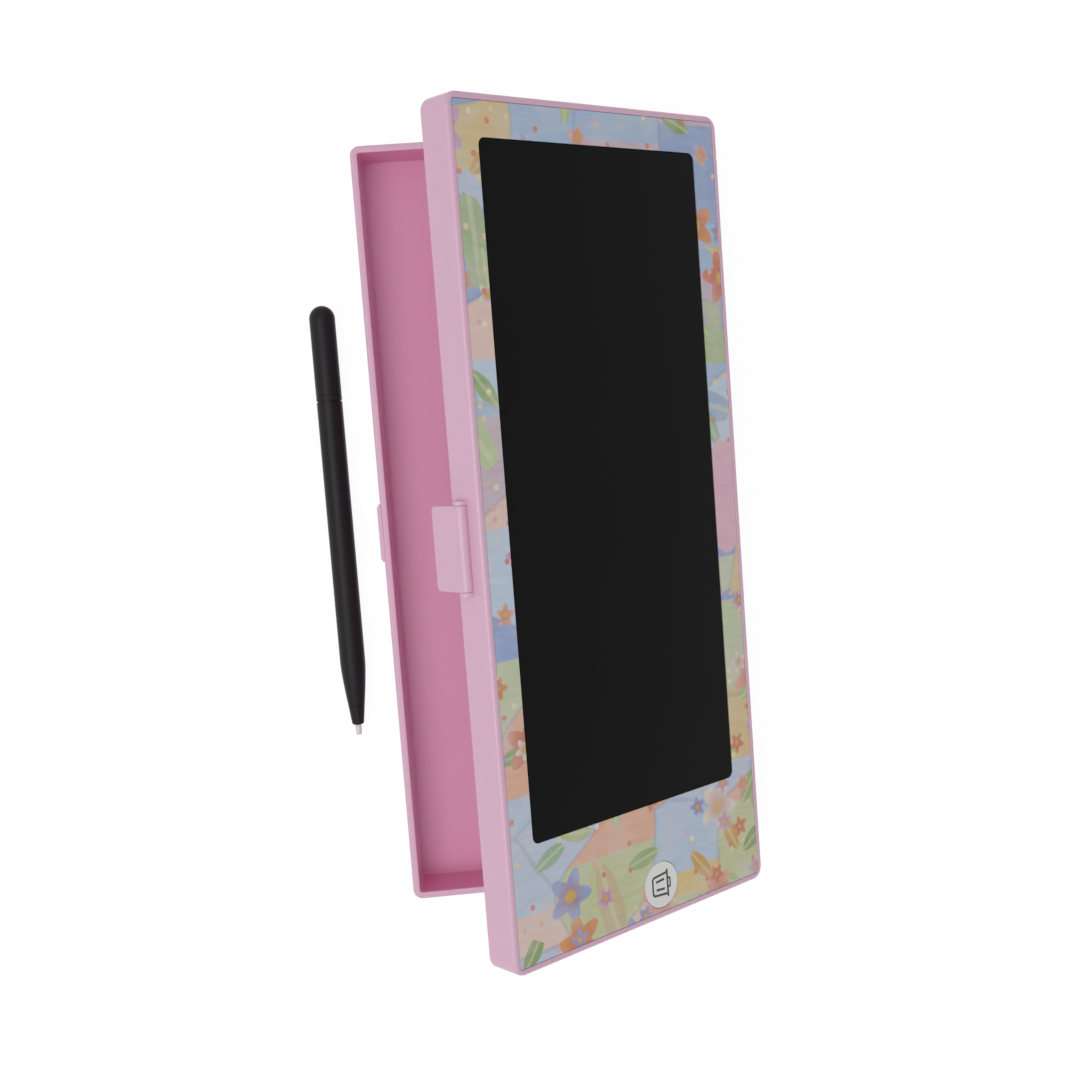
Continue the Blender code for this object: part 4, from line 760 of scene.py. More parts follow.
GROUND_HUES = ("#B6CAE4", "#C2D1DC", "#B9C79C", "#B2C6E2", "#D3BCCB", "#9FB1DA", "#CDD4B4",
               "#E2C896", "#C9D3E6", "#EFD0C6", "#CBDBEC", "#EDB9A0", "#CFD3A6", "#F0DABA",
               "#EDB9A0", "#C3D2E8", "#E6CB8C")
LEAF_HUES = ("#9DB77C", "#8FA86C", "#B7C990", "#D5A75E", "#9FBBA2")
BLADE_HUES = ("#C5D2A6", "#AFC398", "#D2C096", "#A9BED8")
BLOSSOM_HUES = ("#DC8C74", "#EBB09A", "#EEDFD2", "#D4A8CC", "#9DADD8", "#E29A66")
DAB_HUES = ("#F6E8C6", "#DC8C74", "#F2D4A8", "#E9BBB2")
PRINT_WARP = 9.0 * MM
PRINT_SOFT_EDGE = 0.45 * MM
PRINT_SCATTER = 0.8
# The ground's pitch in millimetres, and the share of its hues that one end of the case uses.
GROUND_PITCH = 30
GROUND_HUE_SHARE = 0.49
GROUND_HUE_LEAN = 0.5
SEAM_SPAN = (0.028, 0.008)
SEAM_SHARE = 0.3
# Leaves, with lengths in millimetres: pitch, shift, hues, length, width, least chance.
LEAVES = ((26, (13, 4), BLADE_HUES, 34, 10, 0.45), (16, (31, 17), LEAF_HUES, 15, 5.6, 0.45))
VEIN_PART = 9
VEIN_FULL_PART = 18
VEIN_SHARE = 0.45
# Blossoms, in the same way: pitch, shift, radius, least chance.
BLOSSOMS = ((23, (7, 21), 8.5, 0.35), (13, (23, 9), 3.6, 0.5))
PETALS = 5.0
PETAL_NOTCH_SHARE = 0.55
PETAL_SHADE_SHARES = (0.2, 0.75)
PETAL_DEEPEST_SHARE = 0.55
MIDDLE_SHARES = (0.26, 0.2)
# Dabs, in the same way: pitch and shift.
DABS = (5.5, (3, 2))
DAB_SPAN = (0.95 * MM, 0.75 * MM)
DAB_LEAST_CHANCE = 0.72
BARE_MIDDLE = (-4.0 * MM, 46.0 * MM, 0.0)
BARE_HALF_SIZE = (17.0 * MM, 9.0 * MM, 1.0)
BARE_EDGE = 1.04
BRUSH_WIDTH = 1.6 * MM
BRUSH_LEAN = radians(35)
BRUSH_STRETCH = 0.2
BRUSH_TONES = (0.47, 0.66)
BRUSH_SHARE = 0.8
WASH_SIZE = 14 * MM
WASH_SPAN = (0.45, 0.75)
WASH_SHARE = 0.45
DRIFT_SIZE = 24 * MM
FILM_GLOSS = (0.32, 0.4)
FILM_RELIEF = 0.002 * MM
FILM_RELIEF_STRENGTH = 0.3

# Printed sheet under clear film: soft opaque inks with brush marks 1 to 2 mm wide and paler
# washes, under a smooth satin film. The print turns back with the lid, to lie on its plan.
printed, ink, here, print_shader = new_finish("printed_sheet_under_clear_film")


def lid_place(add, place):
    """Object coordinates turned back about the hinge, to lie as the lid lies when shut."""
    return add("VectorRotate", {"Vector": place, "Center": hinge_point, "Angle": -hinge_turn},
               rotation_type="X_AXIS")


def strewn(place, pitch, shift, hues, spread=1.0, lean=0.0):
    """Motifs strewn a pitch apart: the place on each, turned at random, its chance and hue.

    The pitch, and the shift that sets one layer apart from another, are in millimetres.
    """
    moved = ink("VectorMath", (place, (shift[0] * MM, shift[1] * MM, 0.0)), operation="ADD")
    cells = ink("TexVoronoi", {"Vector": moved, "Scale": 1 / (pitch * MM),
                               "Randomness": PRINT_SCATTER}, voronoi_dimensions="2D").outputs
    spot = ink("VectorMath", (moved, cells["Position"]), operation="SUBTRACT")
    chances = ink("SeparateColor", (cells["Color"],)).outputs
    turn = ink("Math", (chances[0], 2 * pi), operation="MULTIPLY")
    pick = ink("Math", (chances[1], spread, lean), operation="MULTIPLY_ADD")
    hue = ink("ValToRGB", (pick,))
    hue.color_ramp.interpolation = "CONSTANT"
    stops = hue.color_ramp.elements
    for number, colour in enumerate(hues):
        stop = stops[number] if number < 2 else stops.new(number / len(hues))
        stop.position = number / len(hues)
        stop.color = srgb(colour)
    return (ink("VectorRotate", {"Vector": spot, "Angle": turn}, rotation_type="Z_AXIS"),
            chances[2], hue)


def print_over(under, over, inside, chance, least_chance):
    """Lay one more colour over the print, on the motifs whose chance is high enough."""
    kept = ink("Math", (chance, least_chance), operation="GREATER_THAN")
    cover = ink("Math", (inside, kept), operation="MULTIPLY")
    return ink("Mix", {0: cover, 6: under, 7: over}, data_type="RGBA")


sheet_place = ink("Mapping", {"Vector": lid_place(ink, here), "Scale": (1.0, 1.0, 0.0)})
drift = ink("TexNoise", {"Vector": sheet_place, "Scale": 1 / DRIFT_SIZE, "Detail": 1.0})
drift_way = ink("VectorMath", (drift.outputs[1], (0.5, 0.5, 0.5)), operation="SUBTRACT")
drifted, waved = [ink("VectorMath", (drift_way, (warp, warp, 0.0), sheet_place),
                      operation="MULTIPLY_ADD") for warp in (PRINT_WARP, PRINT_WARP / 3)]
# The ground: loose patches of colour, warmer towards the button, with blue seams.
along = ink("SeparateXYZ", (sheet_place,))
lean = ink("MapRange", (along, -case_half_length, case_half_length, 0.0, GROUND_HUE_LEAN))
ground = strewn(drifted, GROUND_PITCH, (0, 0), GROUND_HUES, GROUND_HUE_SHARE, lean)[2]
seams = ink("TexVoronoi", {"Vector": drifted, "Scale": 1 / (GROUND_PITCH * MM),
                           "Randomness": PRINT_SCATTER},
            voronoi_dimensions="2D", feature="DISTANCE_TO_EDGE")
seam_line = ink("MapRange", (seams, *SEAM_SPAN, 0.0, SEAM_SHARE))
art = ink("Mix", {0: seam_line, 6: ground, 7: "#7F8FB4"}, data_type="RGBA")
# Pointed oval leaves with a pale vein: each is where two circles overlap.
for pitch, shift, hues, length, width, least_chance in LEAVES:
    length, width = length * MM, width * MM
    bow = (length ** 2 + width ** 2) / (4 * width)
    spot, chance, hue = strewn(waved, pitch, shift, hues)
    folded = ink("VectorMath", (spot,), operation="ABSOLUTE")
    lowered = ink("VectorMath", (folded, (0.0, bow - width / 2, 0.0)), operation="ADD")
    reach = ink("VectorMath", (lowered,), operation="LENGTH")
    inside = ink("MapRange", (reach, bow, bow - PRINT_SOFT_EDGE))
    across = ink("SeparateXYZ", (folded,)).outputs["Y"]
    vein = ink("MapRange", (across, width / VEIN_PART, width / VEIN_FULL_PART, 0.0, VEIN_SHARE))
    veined = ink("Mix", {0: vein, 6: hue, 7: "#E6E2C4"}, data_type="RGBA")
    art = print_over(art, veined, inside, chance, least_chance)
# Five-petalled blossoms, deeper towards their ochre middles.
for pitch, shift, radius, least_chance in BLOSSOMS:
    radius *= MM
    spot, chance, hue = strewn(sheet_place, pitch, shift, BLOSSOM_HUES)
    around = ink("TexGradient", (spot,), gradient_type="RADIAL").outputs[1]
    petals = ink("Math", (around, PETALS), operation="MULTIPLY")
    petal = ink("Math", (petals, 0.5), operation="PINGPONG")
    outline = ink("MapRange", (petal, 0.0, 0.5, radius * PETAL_NOTCH_SHARE, radius),
                  interpolation_type="SMOOTHSTEP")
    reach = ink("VectorMath", (spot,), operation="LENGTH")
    depth = ink("Math", (outline, reach), operation="SUBTRACT")
    inside = ink("MapRange", (depth, 0.0, PRINT_SOFT_EDGE))
    shade = ink("MapRange", (reach, *[radius * share for share in PETAL_SHADE_SHARES],
                             PETAL_DEEPEST_SHARE, 0.0))
    shaded = ink("Mix", {0: shade, 6: hue, 7: "#B9695C"}, data_type="RGBA")
    middle = ink("MapRange", (reach, *[radius * share for share in MIDDLE_SHARES]))
    flower = ink("Mix", {0: middle, 6: shaded, 7: "#D9AC56"}, data_type="RGBA")
    art = print_over(art, flower, inside, chance, least_chance)
# Small round dabs of a loaded brush.
dab_spot, dab_chance, dab_hue = strewn(sheet_place, *DABS, DAB_HUES)
dab_reach = ink("VectorMath", (dab_spot,), operation="LENGTH")
dab = ink("MapRange", (dab_reach, *DAB_SPAN))
art = print_over(art, dab_hue, dab, dab_chance, DAB_LEAST_CHANCE)
# A bare oval of the sheet's own pink, in the middle of the hinge side.
bare_place = ink("Mapping", {"Vector": waved, "Location": BARE_MIDDLE, "Scale": BARE_HALF_SIZE},
                 vector_type="TEXTURE")
bare_reach = ink("VectorMath", (bare_place,), operation="LENGTH")
bare = ink("MapRange", (bare_reach, BARE_EDGE, 1.0))
art = ink("Mix", {0: bare, 6: art, 7: "#ECBACC"}, data_type="RGBA")
# Brush marks, and washes of thin white over them.
brush_place = ink("Mapping", {"Vector": drifted, "Rotation": (0.0, 0.0, BRUSH_LEAN),
                              "Scale": (1.0, BRUSH_STRETCH, 1.0)})
brush = ink("TexNoise", {"Vector": brush_place, "Scale": 1 / BRUSH_WIDTH, "Detail": 3.0})
brush_tone = ink("MapRange", (brush, *NOISE_SPAN, *BRUSH_TONES))
art = ink("Mix", {0: BRUSH_SHARE, 6: art, 7: brush_tone}, data_type="RGBA",
          blend_type="SOFT_LIGHT")
wash = ink("TexNoise", {"Vector": drifted, "Scale": 1 / WASH_SIZE, "Detail": 2.0})
wash_share = ink("MapRange", (wash, *WASH_SPAN, 0.0, WASH_SHARE))
set_inputs(print_shader, {
    "Base Color": ink("Mix", {0: wash_share, 6: art, 7: "#E2DEDC"}, data_type="RGBA"),
    "Roughness": ink("MapRange", (brush, 0.0, 1.0, *FILM_GLOSS)),
    "Normal": ink("Bump", {"Height": brush, "Distance": FILM_RELIEF,
                            "Strength": FILM_RELIEF_STRENGTH})})

button_turns = [2 * pi * i / FINE_STEPS for i in range(FINE_STEPS)]
button_loop = [(button_place.x + BUTTON_HOLE_RADIUS * cos(turn),
                button_place.y + BUTTON_HOLE_RADIUS * sin(turn)) for turn in button_turns]
glued = Vector((FIT - PANEL_GAP, FIT - PANEL_GAP, 0.0))
bm = drawn("panel", [plan_loop(panel_low - glued, panel_high + glued, PANEL_CORNER),
                     plan_loop(WINDOW_LOW, WINDOW_HIGH, WINDOW_CORNER)[::-1],
                     button_loop[::-1]], True, dimensions="2D", fill_mode="BOTH",
           extrude=(panel_high.z - panel_low.z) / 2 - PANEL_EDGE, bevel_depth=PANEL_EDGE,
           bevel_resolution=1, offset=-PANEL_EDGE)
bmesh.ops.translate(bm, verts=bm.verts, vec=(0.0, 0.0, (panel_low.z + panel_high.z) / 2))
panel = make_object("printed_front_panel", bm, printed)
fit(panel, "lid", "printed_panel", "front_panel")


# Writing film: the black pressure-sensitive LCD sheet, with the clear lens that fills the
# window level with the print. It lies loose in the deck's pocket under the panel's edge.
LENS_EDGE = 0.05 * MM
# Liquid-crystal film under a matt anti-glare skin: a deep even black, slightly paler in clouds.
lcd_film = moulded_plastic("black_lcd_film", "#080808", "#0C0C0C", 0.34, 40, 0.5, 0.002,
                           {"Specular IOR Level": 0.06})
film = make_object("lcd_writing_film",
                   plate(film_low, (*film_high.xy, film_top), SMALLEST_CORNER), lcd_film)
join(film,
     plate((WINDOW_LOW.x + FIT, WINDOW_LOW.y + FIT, film_top - EMBED / 2),
           (WINDOW_HIGH.x - FIT, WINDOW_HIGH.y - FIT, film_high.z), WINDOW_CORNER - FIT,
           LENS_EDGE, 0.0))
fit(film, "lid", "writing_film", "writing_film")


# Erase button: a white moulded disc with a flange below, held by the panel's hole. It stands
# level with the print, and its bin sign is printed in dark ink.
BUTTON_RADIUS = 7.0 * MM
BUTTON_EDGE = 0.25 * MM
BUTTON_FLANGE_THICKNESS = 0.8 * MM
BUTTON_STEM_RADIUS = 2.0 * MM
INK_HALF_WIDTH = 0.38 * MM
INK_HEIGHT = 0.06 * MM
# White ABS with a satin face, a touch warm beside the paper.
white_abs = moulded_plastic("white_moulded_abs", "#F4F6F4", "#F7F8F6", 0.38, 12, 0.3, 0.004)
flange_bottom = film_top - BUTTON_FLANGE_THICKNESS
profile = [(0.0, button_low.z), (BUTTON_STEM_RADIUS, button_low.z),
           (BUTTON_STEM_RADIUS, flange_bottom), (BUTTON_FLANGE_RADIUS, flange_bottom),
           (BUTTON_FLANGE_RADIUS, film_top), (BUTTON_RADIUS, film_top)]
profile += [(BUTTON_RADIUS - inset, z) for inset, z in
            arc(BUTTON_EDGE, button_high.z - BUTTON_EDGE, BUTTON_EDGE, 180, 90, 4)]
profile += [(0.0, button_high.z)]
button = make_object("erase_button_cap", turned(profile, (*button_place.xy, 0.0)), white_abs)
fit(button, "erase_button", "white_plastic", "button_cap")

# Screen ink: a thin dark film with a slightly uneven edge and a dull gloss.
sign_ink = moulded_plastic("dark_screen_ink", "#3A3A3C", "#444447", 0.5, 3, 0.2, 0.004)
# Strokes of the bin sign in millimetres from the button's middle, with its lid towards +Y.
SIGN_STROKES = (
    [(-4.2, 2.5), (4.2, 2.5)], [(-1.5, 2.6), (-1.2, 3.6), (1.2, 3.6), (1.5, 2.6)],
    [(-3.3, 2.5), (-2.8, -3.2), (-2.2, -3.8), (2.2, -3.8), (2.8, -3.2), (3.3, 2.5)],
    [(-1.5, 1.1), (-1.2, -2.4)], [(1.5, 1.1), (1.2, -2.4)])
bm = drawn("sign", [[(x * MM, y * MM) for x, y in stroke] for stroke in SIGN_STROKES], False,
           dimensions="3D", bevel_depth=INK_HALF_WIDTH, bevel_resolution=3, use_fill_caps=True)
flatten = Matrix.Diagonal((1.0, 1.0, INK_HEIGHT / INK_HALF_WIDTH, 1.0))
to_button = Matrix.Translation((*button_place.xy, button_high.z))
bmesh.ops.transform(bm, matrix=to_button @ flatten, verts=bm.verts)
sign = make_object("bin_sign", bm, sign_ink)
fit(sign, "erase_button", "black_plastic")


# Backing sheet: thin black foam that presses the film up against the panel. It keeps its
# plain die-cut shape.
FOAM_PORE = 0.5 * MM
PORE_DEPTH = 0.08
PORE_STRENGTH = 0.6


def in_relief(add, shader, pattern, shade, tint, roughness, depth, strength=1.0):
    """Colour a finish by a pattern that stands out from it, by a depth in millimetres."""
    set_inputs(shader, {
        "Base Color": add("Mix", {0: pattern, 6: shade, 7: tint}, data_type="RGBA"),
        "Normal": add("Bump", {"Height": pattern, "Distance": depth * MM, "Strength": strength}),
        "Roughness": roughness})


# Closed-cell foam: dead black, with the cut cells' pits about half a millimetre wide.
foam, add, place, shader = new_finish("black_closed_cell_foam")
pores = add("TexVoronoi", {"Vector": place, "Scale": 1 / FOAM_PORE}, feature="SMOOTH_F1")
in_relief(add, shader, pores, "#0C0C0D", "#242426", 0.92, PORE_DEPTH, PORE_STRENGTH)
coat(foam, "film_backing")


# Film ribbon: the amber flexible tail that carries the film's two electrodes to the board. Its
# folded strip keeps its plain shape.
RIBBON_PITCH = 1.0 * MM
RIBBON_TRACK_SHARES = (0.45, 0.55)
COPPER_RELIEF = 0.02
# Polyimide over etched copper: clear amber, with tracks half a pitch wide showing through.
ribbon_film, add, place, shader = new_finish("amber_polyimide_with_copper")
across = add("SeparateXYZ", (lid_place(add, place),)).outputs["Y"]
wave = add("Math", (across, RIBBON_PITCH), operation="PINGPONG")
tracks = add("MapRange", (wave, *[RIBBON_PITCH * share for share in RIBBON_TRACK_SHARES]))
in_relief(add, shader, tracks, "#C07A24", "#8E4A1C", 0.3, COPPER_RELIEF)
coat(ribbon_film, "film_ribbon")


# Circuit board and what is soldered on it: a small glass-epoxy board with the ribbon's
# connector, one moulded controller and the erase switch. They keep their plain solids.
TRACK_PITCH = 1.8 * MM
TRACK_SCATTER = 0.7
TRACK_SPAN = (0.55, 0.6)
TRACK_RELIEF = 0.03
# Glass-epoxy board under green solder mask: copper tracks about 0.3 mm wide show paler.
board_mask, add, place, shader = new_finish("green_solder_mask")
cells = add("TexVoronoi", {"Vector": lid_place(add, place), "Scale": 1 / TRACK_PITCH,
                           "Randomness": TRACK_SCATTER}, distance="CHEBYCHEV", feature="F2")
tracks = add("MapRange", (cells, *TRACK_SPAN))
in_relief(add, shader, tracks, "#14502F", "#2C7A46", 0.28, TRACK_RELIEF)
coat(board_mask, "circuit_board")
# Filled epoxy of a moulded chip: charcoal and finely gritty.
chip_epoxy = moulded_plastic("charcoal_chip_epoxy", "#202124", "#2A2B2E", 0.55, 3, 0.15, 0.01)
coat(chip_epoxy, "controller_chip")
# Glass-filled nylon of the switch's case: black, with a dull streaky skin.
switch_nylon = moulded_plastic("black_glass_filled_nylon", "#17181A", "#222326", 0.6, 2, 0.2,
                               0.012)
coat(switch_nylon, "erase_switch")
# Ivory nylon of the ribbon's connector and the switch's plunger: slightly waxy.
ivory_nylon = moulded_plastic("ivory_nylon", "#DCD6C4", "#E4DFD0", 0.48, 3, 0.2, 0.006)
coat(ivory_nylon, "ribbon_connector", "switch_plunger")


# Inner cover: a moulded pink plate that closes the lid's underside, with a round well for
# the coin cell and counterbored seats for its six screws.
COVER_EDGE = 0.3 * MM
SEAT_BOSS_RADIUS = 3.2 * MM
HEAD_BORE = 2.05 * MM
HEAD_DEPTH = 1.45 * MM
CELL_WALL = 1.0 * MM
CELL_WALL_HEIGHT = 2.4 * MM
DOOR_THICKNESS = 0.9 * MM
DOOR_RADIUS = 11.9 * MM
DOOR_TAB_HALF_WIDTH = 4.5 * MM
DOOR_TAB_CORNER = 3.0 * MM
DOOR_BOSS_RADIUS = 2.8 * MM
DOOR_BOSS_HEIGHT = 2.0 * MM
cell_low, cell_high = shut_box("coin_cell")
cell = (cell_low + cell_high) / 2
cell_hole = cell_high.x - cell.x + FIT
cell_clear = cell_high.z + OVERRUN
bolt_low, bolt_high = shut_box("battery_door_screw")
bolt = Vector(((bolt_low.x + bolt_high.x) / 2, cell.y, bolt_low.z))
plus_low, plus_high = shut_box("battery_contact_plus")
door_left = shut_box("battery_door")[0].x
board_near = shut_box("circuit_board")[0].y
cover_top = cover_low.z + COVER_THICKNESS
door_top = cover_low.z + DOOR_THICKNESS
below = cover_low.z - OVERRUN
above = cover_top + OVERRUN


def door_shapes(grow_by, bottom, top, edge=0.0):
    """The door's disc, and the tab that reaches from it to the door's screw."""
    return [post(cell, DOOR_RADIUS + grow_by, bottom, top, edge),
            plate((door_left - grow_by, cell.y - DOOR_TAB_HALF_WIDTH - grow_by, bottom),
                  (cell.x, cell.y + DOOR_TAB_HALF_WIDTH + grow_by, top), DOOR_TAB_CORNER, edge)]


cover = make_object("lid_inner_cover",
                    plate(cover_low, (*cover_high.xy, cover_top), LID_INNER_CORNER, COVER_EDGE),
                    pink_abs)
join(cover,
     post(cell, cell_hole + CELL_WALL, cover_top - EMBED, cover_top + CELL_WALL_HEIGHT),
     post(bolt, DOOR_BOSS_RADIUS + FIT + CELL_WALL, cover_top - EMBED, bolt_high.z + FIT),
     *[post(spot, SEAT_BOSS_RADIUS, cover_top - EMBED, cover_top + SEAT_BOSS_HEIGHT)
       for spot in screw_places])
cut(cover,
    post(cell, cell_hole, below, cell_clear),
    block((plus_low.x - FIT, cell.y, cover_top), (plus_high.x + FIT, board_near, cell_clear)),
    *door_shapes(FIT, below, door_top + FIT),
    post(bolt, DOOR_BOSS_RADIUS + FIT, below, cover_low.z + DOOR_BOSS_HEIGHT + FIT),
    post(bolt, SCREW_BORE, below, bolt_high.z + OVERRUN),
    *[post(spot, SCREW_BORE, below, above) for spot in screw_places],
    *[post(spot, HEAD_BORE, below, cover_low.z + HEAD_DEPTH) for spot in screw_places])
fit(cover, "lid", "pink_shell", "inner_cover")


# Cover screws: small pan-head steel screws with a cross recess, one in each counterbore of
# the inner cover. They cut their own thread in the lid's bosses.
SCREW_HEAD_RADIUS = 1.75 * MM
SCREW_HEAD_HEIGHT = 1.0 * MM
SCREW_HEAD_ROUND = 0.35 * MM
SCREW_SHANK = 0.9 * MM
SLOT_HALF_WIDTH = 0.25 * MM
SLOT_REACH = 1.05 * MM
SLOT_DEPTH = 0.5 * MM
# Nickel-plated steel: warm grey and bright, with faint turning marks on the head.
nickel = metal("nickel_plated_steel", "#C8C6C2", 0.24, 1, 0.15, 0.004)


def cross_head_screw(name, length):
    """A screw at the origin, its head's face at height 0 and its shank pointing up."""
    profile = [(0.0, 0.0)]
    profile += [(SCREW_HEAD_RADIUS - inset, z) for inset, z in
                arc(SCREW_HEAD_ROUND, SCREW_HEAD_ROUND, SCREW_HEAD_ROUND, 270, 180, 4)]
    profile += [(SCREW_HEAD_RADIUS, SCREW_HEAD_HEIGHT), (SCREW_SHANK, SCREW_HEAD_HEIGHT),
                (SCREW_SHANK, length), (0.0, length)]
    screw = make_object(name, turned(profile, (0.0, 0.0, 0.0)), nickel)
    cut(screw,
        *[block((-x, -y, -OVERRUN), (x, y, SLOT_DEPTH))
          for x, y in ((SLOT_REACH, SLOT_HALF_WIDTH), (SLOT_HALF_WIDTH, SLOT_REACH))])
    return screw


screw_tree, add, sizes = geometry_tree("cover_screws", Float="Size X, Size Y",
                                       Int="Columns, Rows", Vector="Middle")
grid = add("GeometryNodeMeshGrid", {"Size X": sizes["Size X"], "Size Y": sizes["Size Y"],
                                    "Vertices X": sizes["Columns"], "Vertices Y": sizes["Rows"]})
screws = add("GeometryNodeInstanceOnPoints", {"Points": grid, "Instance": sizes["Geometry"]})
close_tree(add, screws, sizes["Middle"], sizes["Material"])
(first_low, first_high), (last_low, last_high) = screw_boxes[0], screw_boxes[-1]
screws_middle = Vector(((first_low.x + last_high.x) / 2, (first_low.y + last_high.y) / 2,
                        first_low.z))
cover_screw = smooth(cross_head_screw("cover_screws", first_high.z - first_low.z))
cover_screws = grow(cover_screw, screw_tree, {
    "Material": nickel, "Size X": last_low.x - first_low.x, "Size Y": last_low.y - first_low.y,
    "Columns": 3, "Rows": 2, "Middle": screws_middle})
fit(cover_screws, "lid", "steel", *[f"cover_screw_{i}" for i in range(1, 7)])


# Coin cell, its two sprung contacts and the board's screws keep their plain solids, with the
# finish of the metal that each is made of.
coat(nickel, "board_screw_1", "board_screw_2")
# Nickel-plated steel can of a lithium cell: bright, with fine lathe marks.
cell_can = metal("nickel_plated_cell_can", "#D2D1CD", 0.2, 1, 0.1, 0.003)
coat(cell_can, "coin_cell")
# Tinned phosphor bronze: pale grey with a warm cast, rolled along the strip.
contact_bronze = metal("tinned_phosphor_bronze", "#C6BFB0", 0.33, 8, 0.15, 0.004)
coat(contact_bronze, "battery_contact_plus", "battery_contact_minus")


# Battery door: a round pink lid with a screw tab, let into the inner cover under the cell.
# Its boss holds the captive screw that keeps children from the cell.
DOOR_EDGE = 0.15 * MM
DOOR_HEAD_DEPTH = 1.6 * MM
disc, tab = door_shapes(0.0, cover_low.z, door_top, DOOR_EDGE)
door = make_object("battery_door_plate", disc, pink_abs)
join(door, tab, post(cell, cell_hole - FIT, door_top - EMBED, cover_top),
     post(bolt, DOOR_BOSS_RADIUS, cover_low.z + EMBED, cover_low.z + DOOR_BOSS_HEIGHT))
cut(door, post(bolt, SCREW_BORE, below, above),
    post(bolt, HEAD_BORE, below, cover_low.z + DOOR_HEAD_DEPTH))
fit(door, "battery_lid", "pink_shell", "battery_door")

door_bolt = cross_head_screw("battery_door_bolt", bolt_high.z - bolt_low.z)
door_bolt.data.transform(Matrix.Translation(bolt))
fit(door_bolt, "battery_lid", "steel", "battery_door_screw")


# Latch flap: a pink flap that turns on a wire between two small lugs of the lid. A lip along
# its foot snaps over the bead on the tray.
FLAP_THICKNESS = 1.1 * MM
FLAP_CORNER = 1.6 * MM
FLAP_CORNER_STEPS = 8
FLAP_EDGE = 0.3 * MM
FLAP_LIP_HEIGHT = 1.6 * MM
FLAP_LIP_DEPTH = 0.3 * MM
FLAP_LIP_EDGE = FLAP_LIP_DEPTH * 0.6
FLAP_ARC_STEPS = 24
flap_outer, flap_inner = flap_low.y, flap_low.y + FLAP_THICKNESS
inner_turn = acos((flap_inner - barrel.y) / BARREL_RADIUS)
outline = [(barrel.y + BARREL_RADIUS * cos(turn), barrel.z + BARREL_RADIUS * sin(turn))
           for turn in (-inner_turn + (inner_turn + pi) * i / FLAP_ARC_STEPS
                        for i in range(FLAP_ARC_STEPS + 1))]
outline += [(flap_outer, flap_low.z), (flap_inner, flap_low.z)]
bm = slab(outline, flap_low.x, flap_high.x)
foot_corners = [line for line in bm.edges
                if all(vert.co.z < flap_low.z + EMBED for vert in line.verts)
                and abs(line.verts[0].co.x - line.verts[1].co.x) < EMBED]
round_edges(bm, foot_corners, FLAP_CORNER, FLAP_CORNER_STEPS)
round_rims(bm, FLAP_EDGE)
flap = make_object("latch_flap_plate", bm, pink_abs)
lip_bottom = flap_low.z + FLAP_EDGE
join(flap,
     block((flap_low.x + FLAP_CORNER, flap_inner - EMBED, lip_bottom),
           (flap_high.x - FLAP_CORNER, flap_inner + FLAP_LIP_DEPTH,
            lip_bottom + FLAP_LIP_HEIGHT), FLAP_LIP_EDGE))
cut(flap,
    drum((flap_low.x - OVERRUN, barrel.y, barrel.z), LATCH_PIN_BORE,
         flap_high.x - flap_low.x + 2 * OVERRUN, along_x=True))
fit(flap, "latch", "pink_shell", "latch_flap")


# Stylus: four turned pieces in black satin ABS, a domed cap pushed into a barrel that tapers
# to a nose cone, and a grey acetal nib that writes by pressing on the film.
STYLUS_RADIUS = 4.1 * MM
STYLUS_DOME = 4.2 * MM
STYLUS_CAP = 28.5 * MM
STYLUS_LENGTH = 136.4 * MM
STYLUS_NOSE = 6.3 * MM
STYLUS_TAPER = 14.3 * MM
STYLUS_TAPER_CURVE = 1.35
STYLUS_SEAM_RADIUS = 2.67 * MM
STYLUS_NOSE_RADIUS = 1.9 * MM
STYLUS_NOSE_ROUND = 0.7 * MM
STYLUS_SEAM_EDGE = 0.12 * MM
STYLUS_SEAM_GAP = 0.04 * MM
CAP_SPIGOT_RADIUS = 2.7 * MM
CAP_SPIGOT_LENGTH = 7.0 * MM
NOSE_SPIGOT_RADIUS = 1.6 * MM
NOSE_SPIGOT_LENGTH = 6.0 * MM
GROOVE_AT = 30.3 * MM
GROOVE_WIDTH = 0.4 * MM
GROOVE_DEPTH = 0.3 * MM
NIB_RADIUS = 1.05 * MM
NIB_BORE = 1.2 * MM
NIB_TIP_RADIUS = 0.88 * MM
NIB_REACH = 3.5 * MM
NIB_SHANK = 7.0 * MM
NIB_ROUND = 0.3 * MM
STYLUS_SIDES = 64
STYLUS_STATIONS = 24
STYLUS_ROUND_STATIONS = 10
# Satin black ABS: near black, and a little grey where the light grazes it.
black_abs = moulded_plastic("black_satin_abs", "#232123", "#282628", 0.36, 25, 0.25, 0.004,
                            {"Specular IOR Level": 0.12})
# Acetal: pale grey and slightly waxy.
grey_acetal = moulded_plastic("grey_acetal_nib", "#EAEAEA", "#F0F0F0", 0.5, 4, 0.3, 0.005)

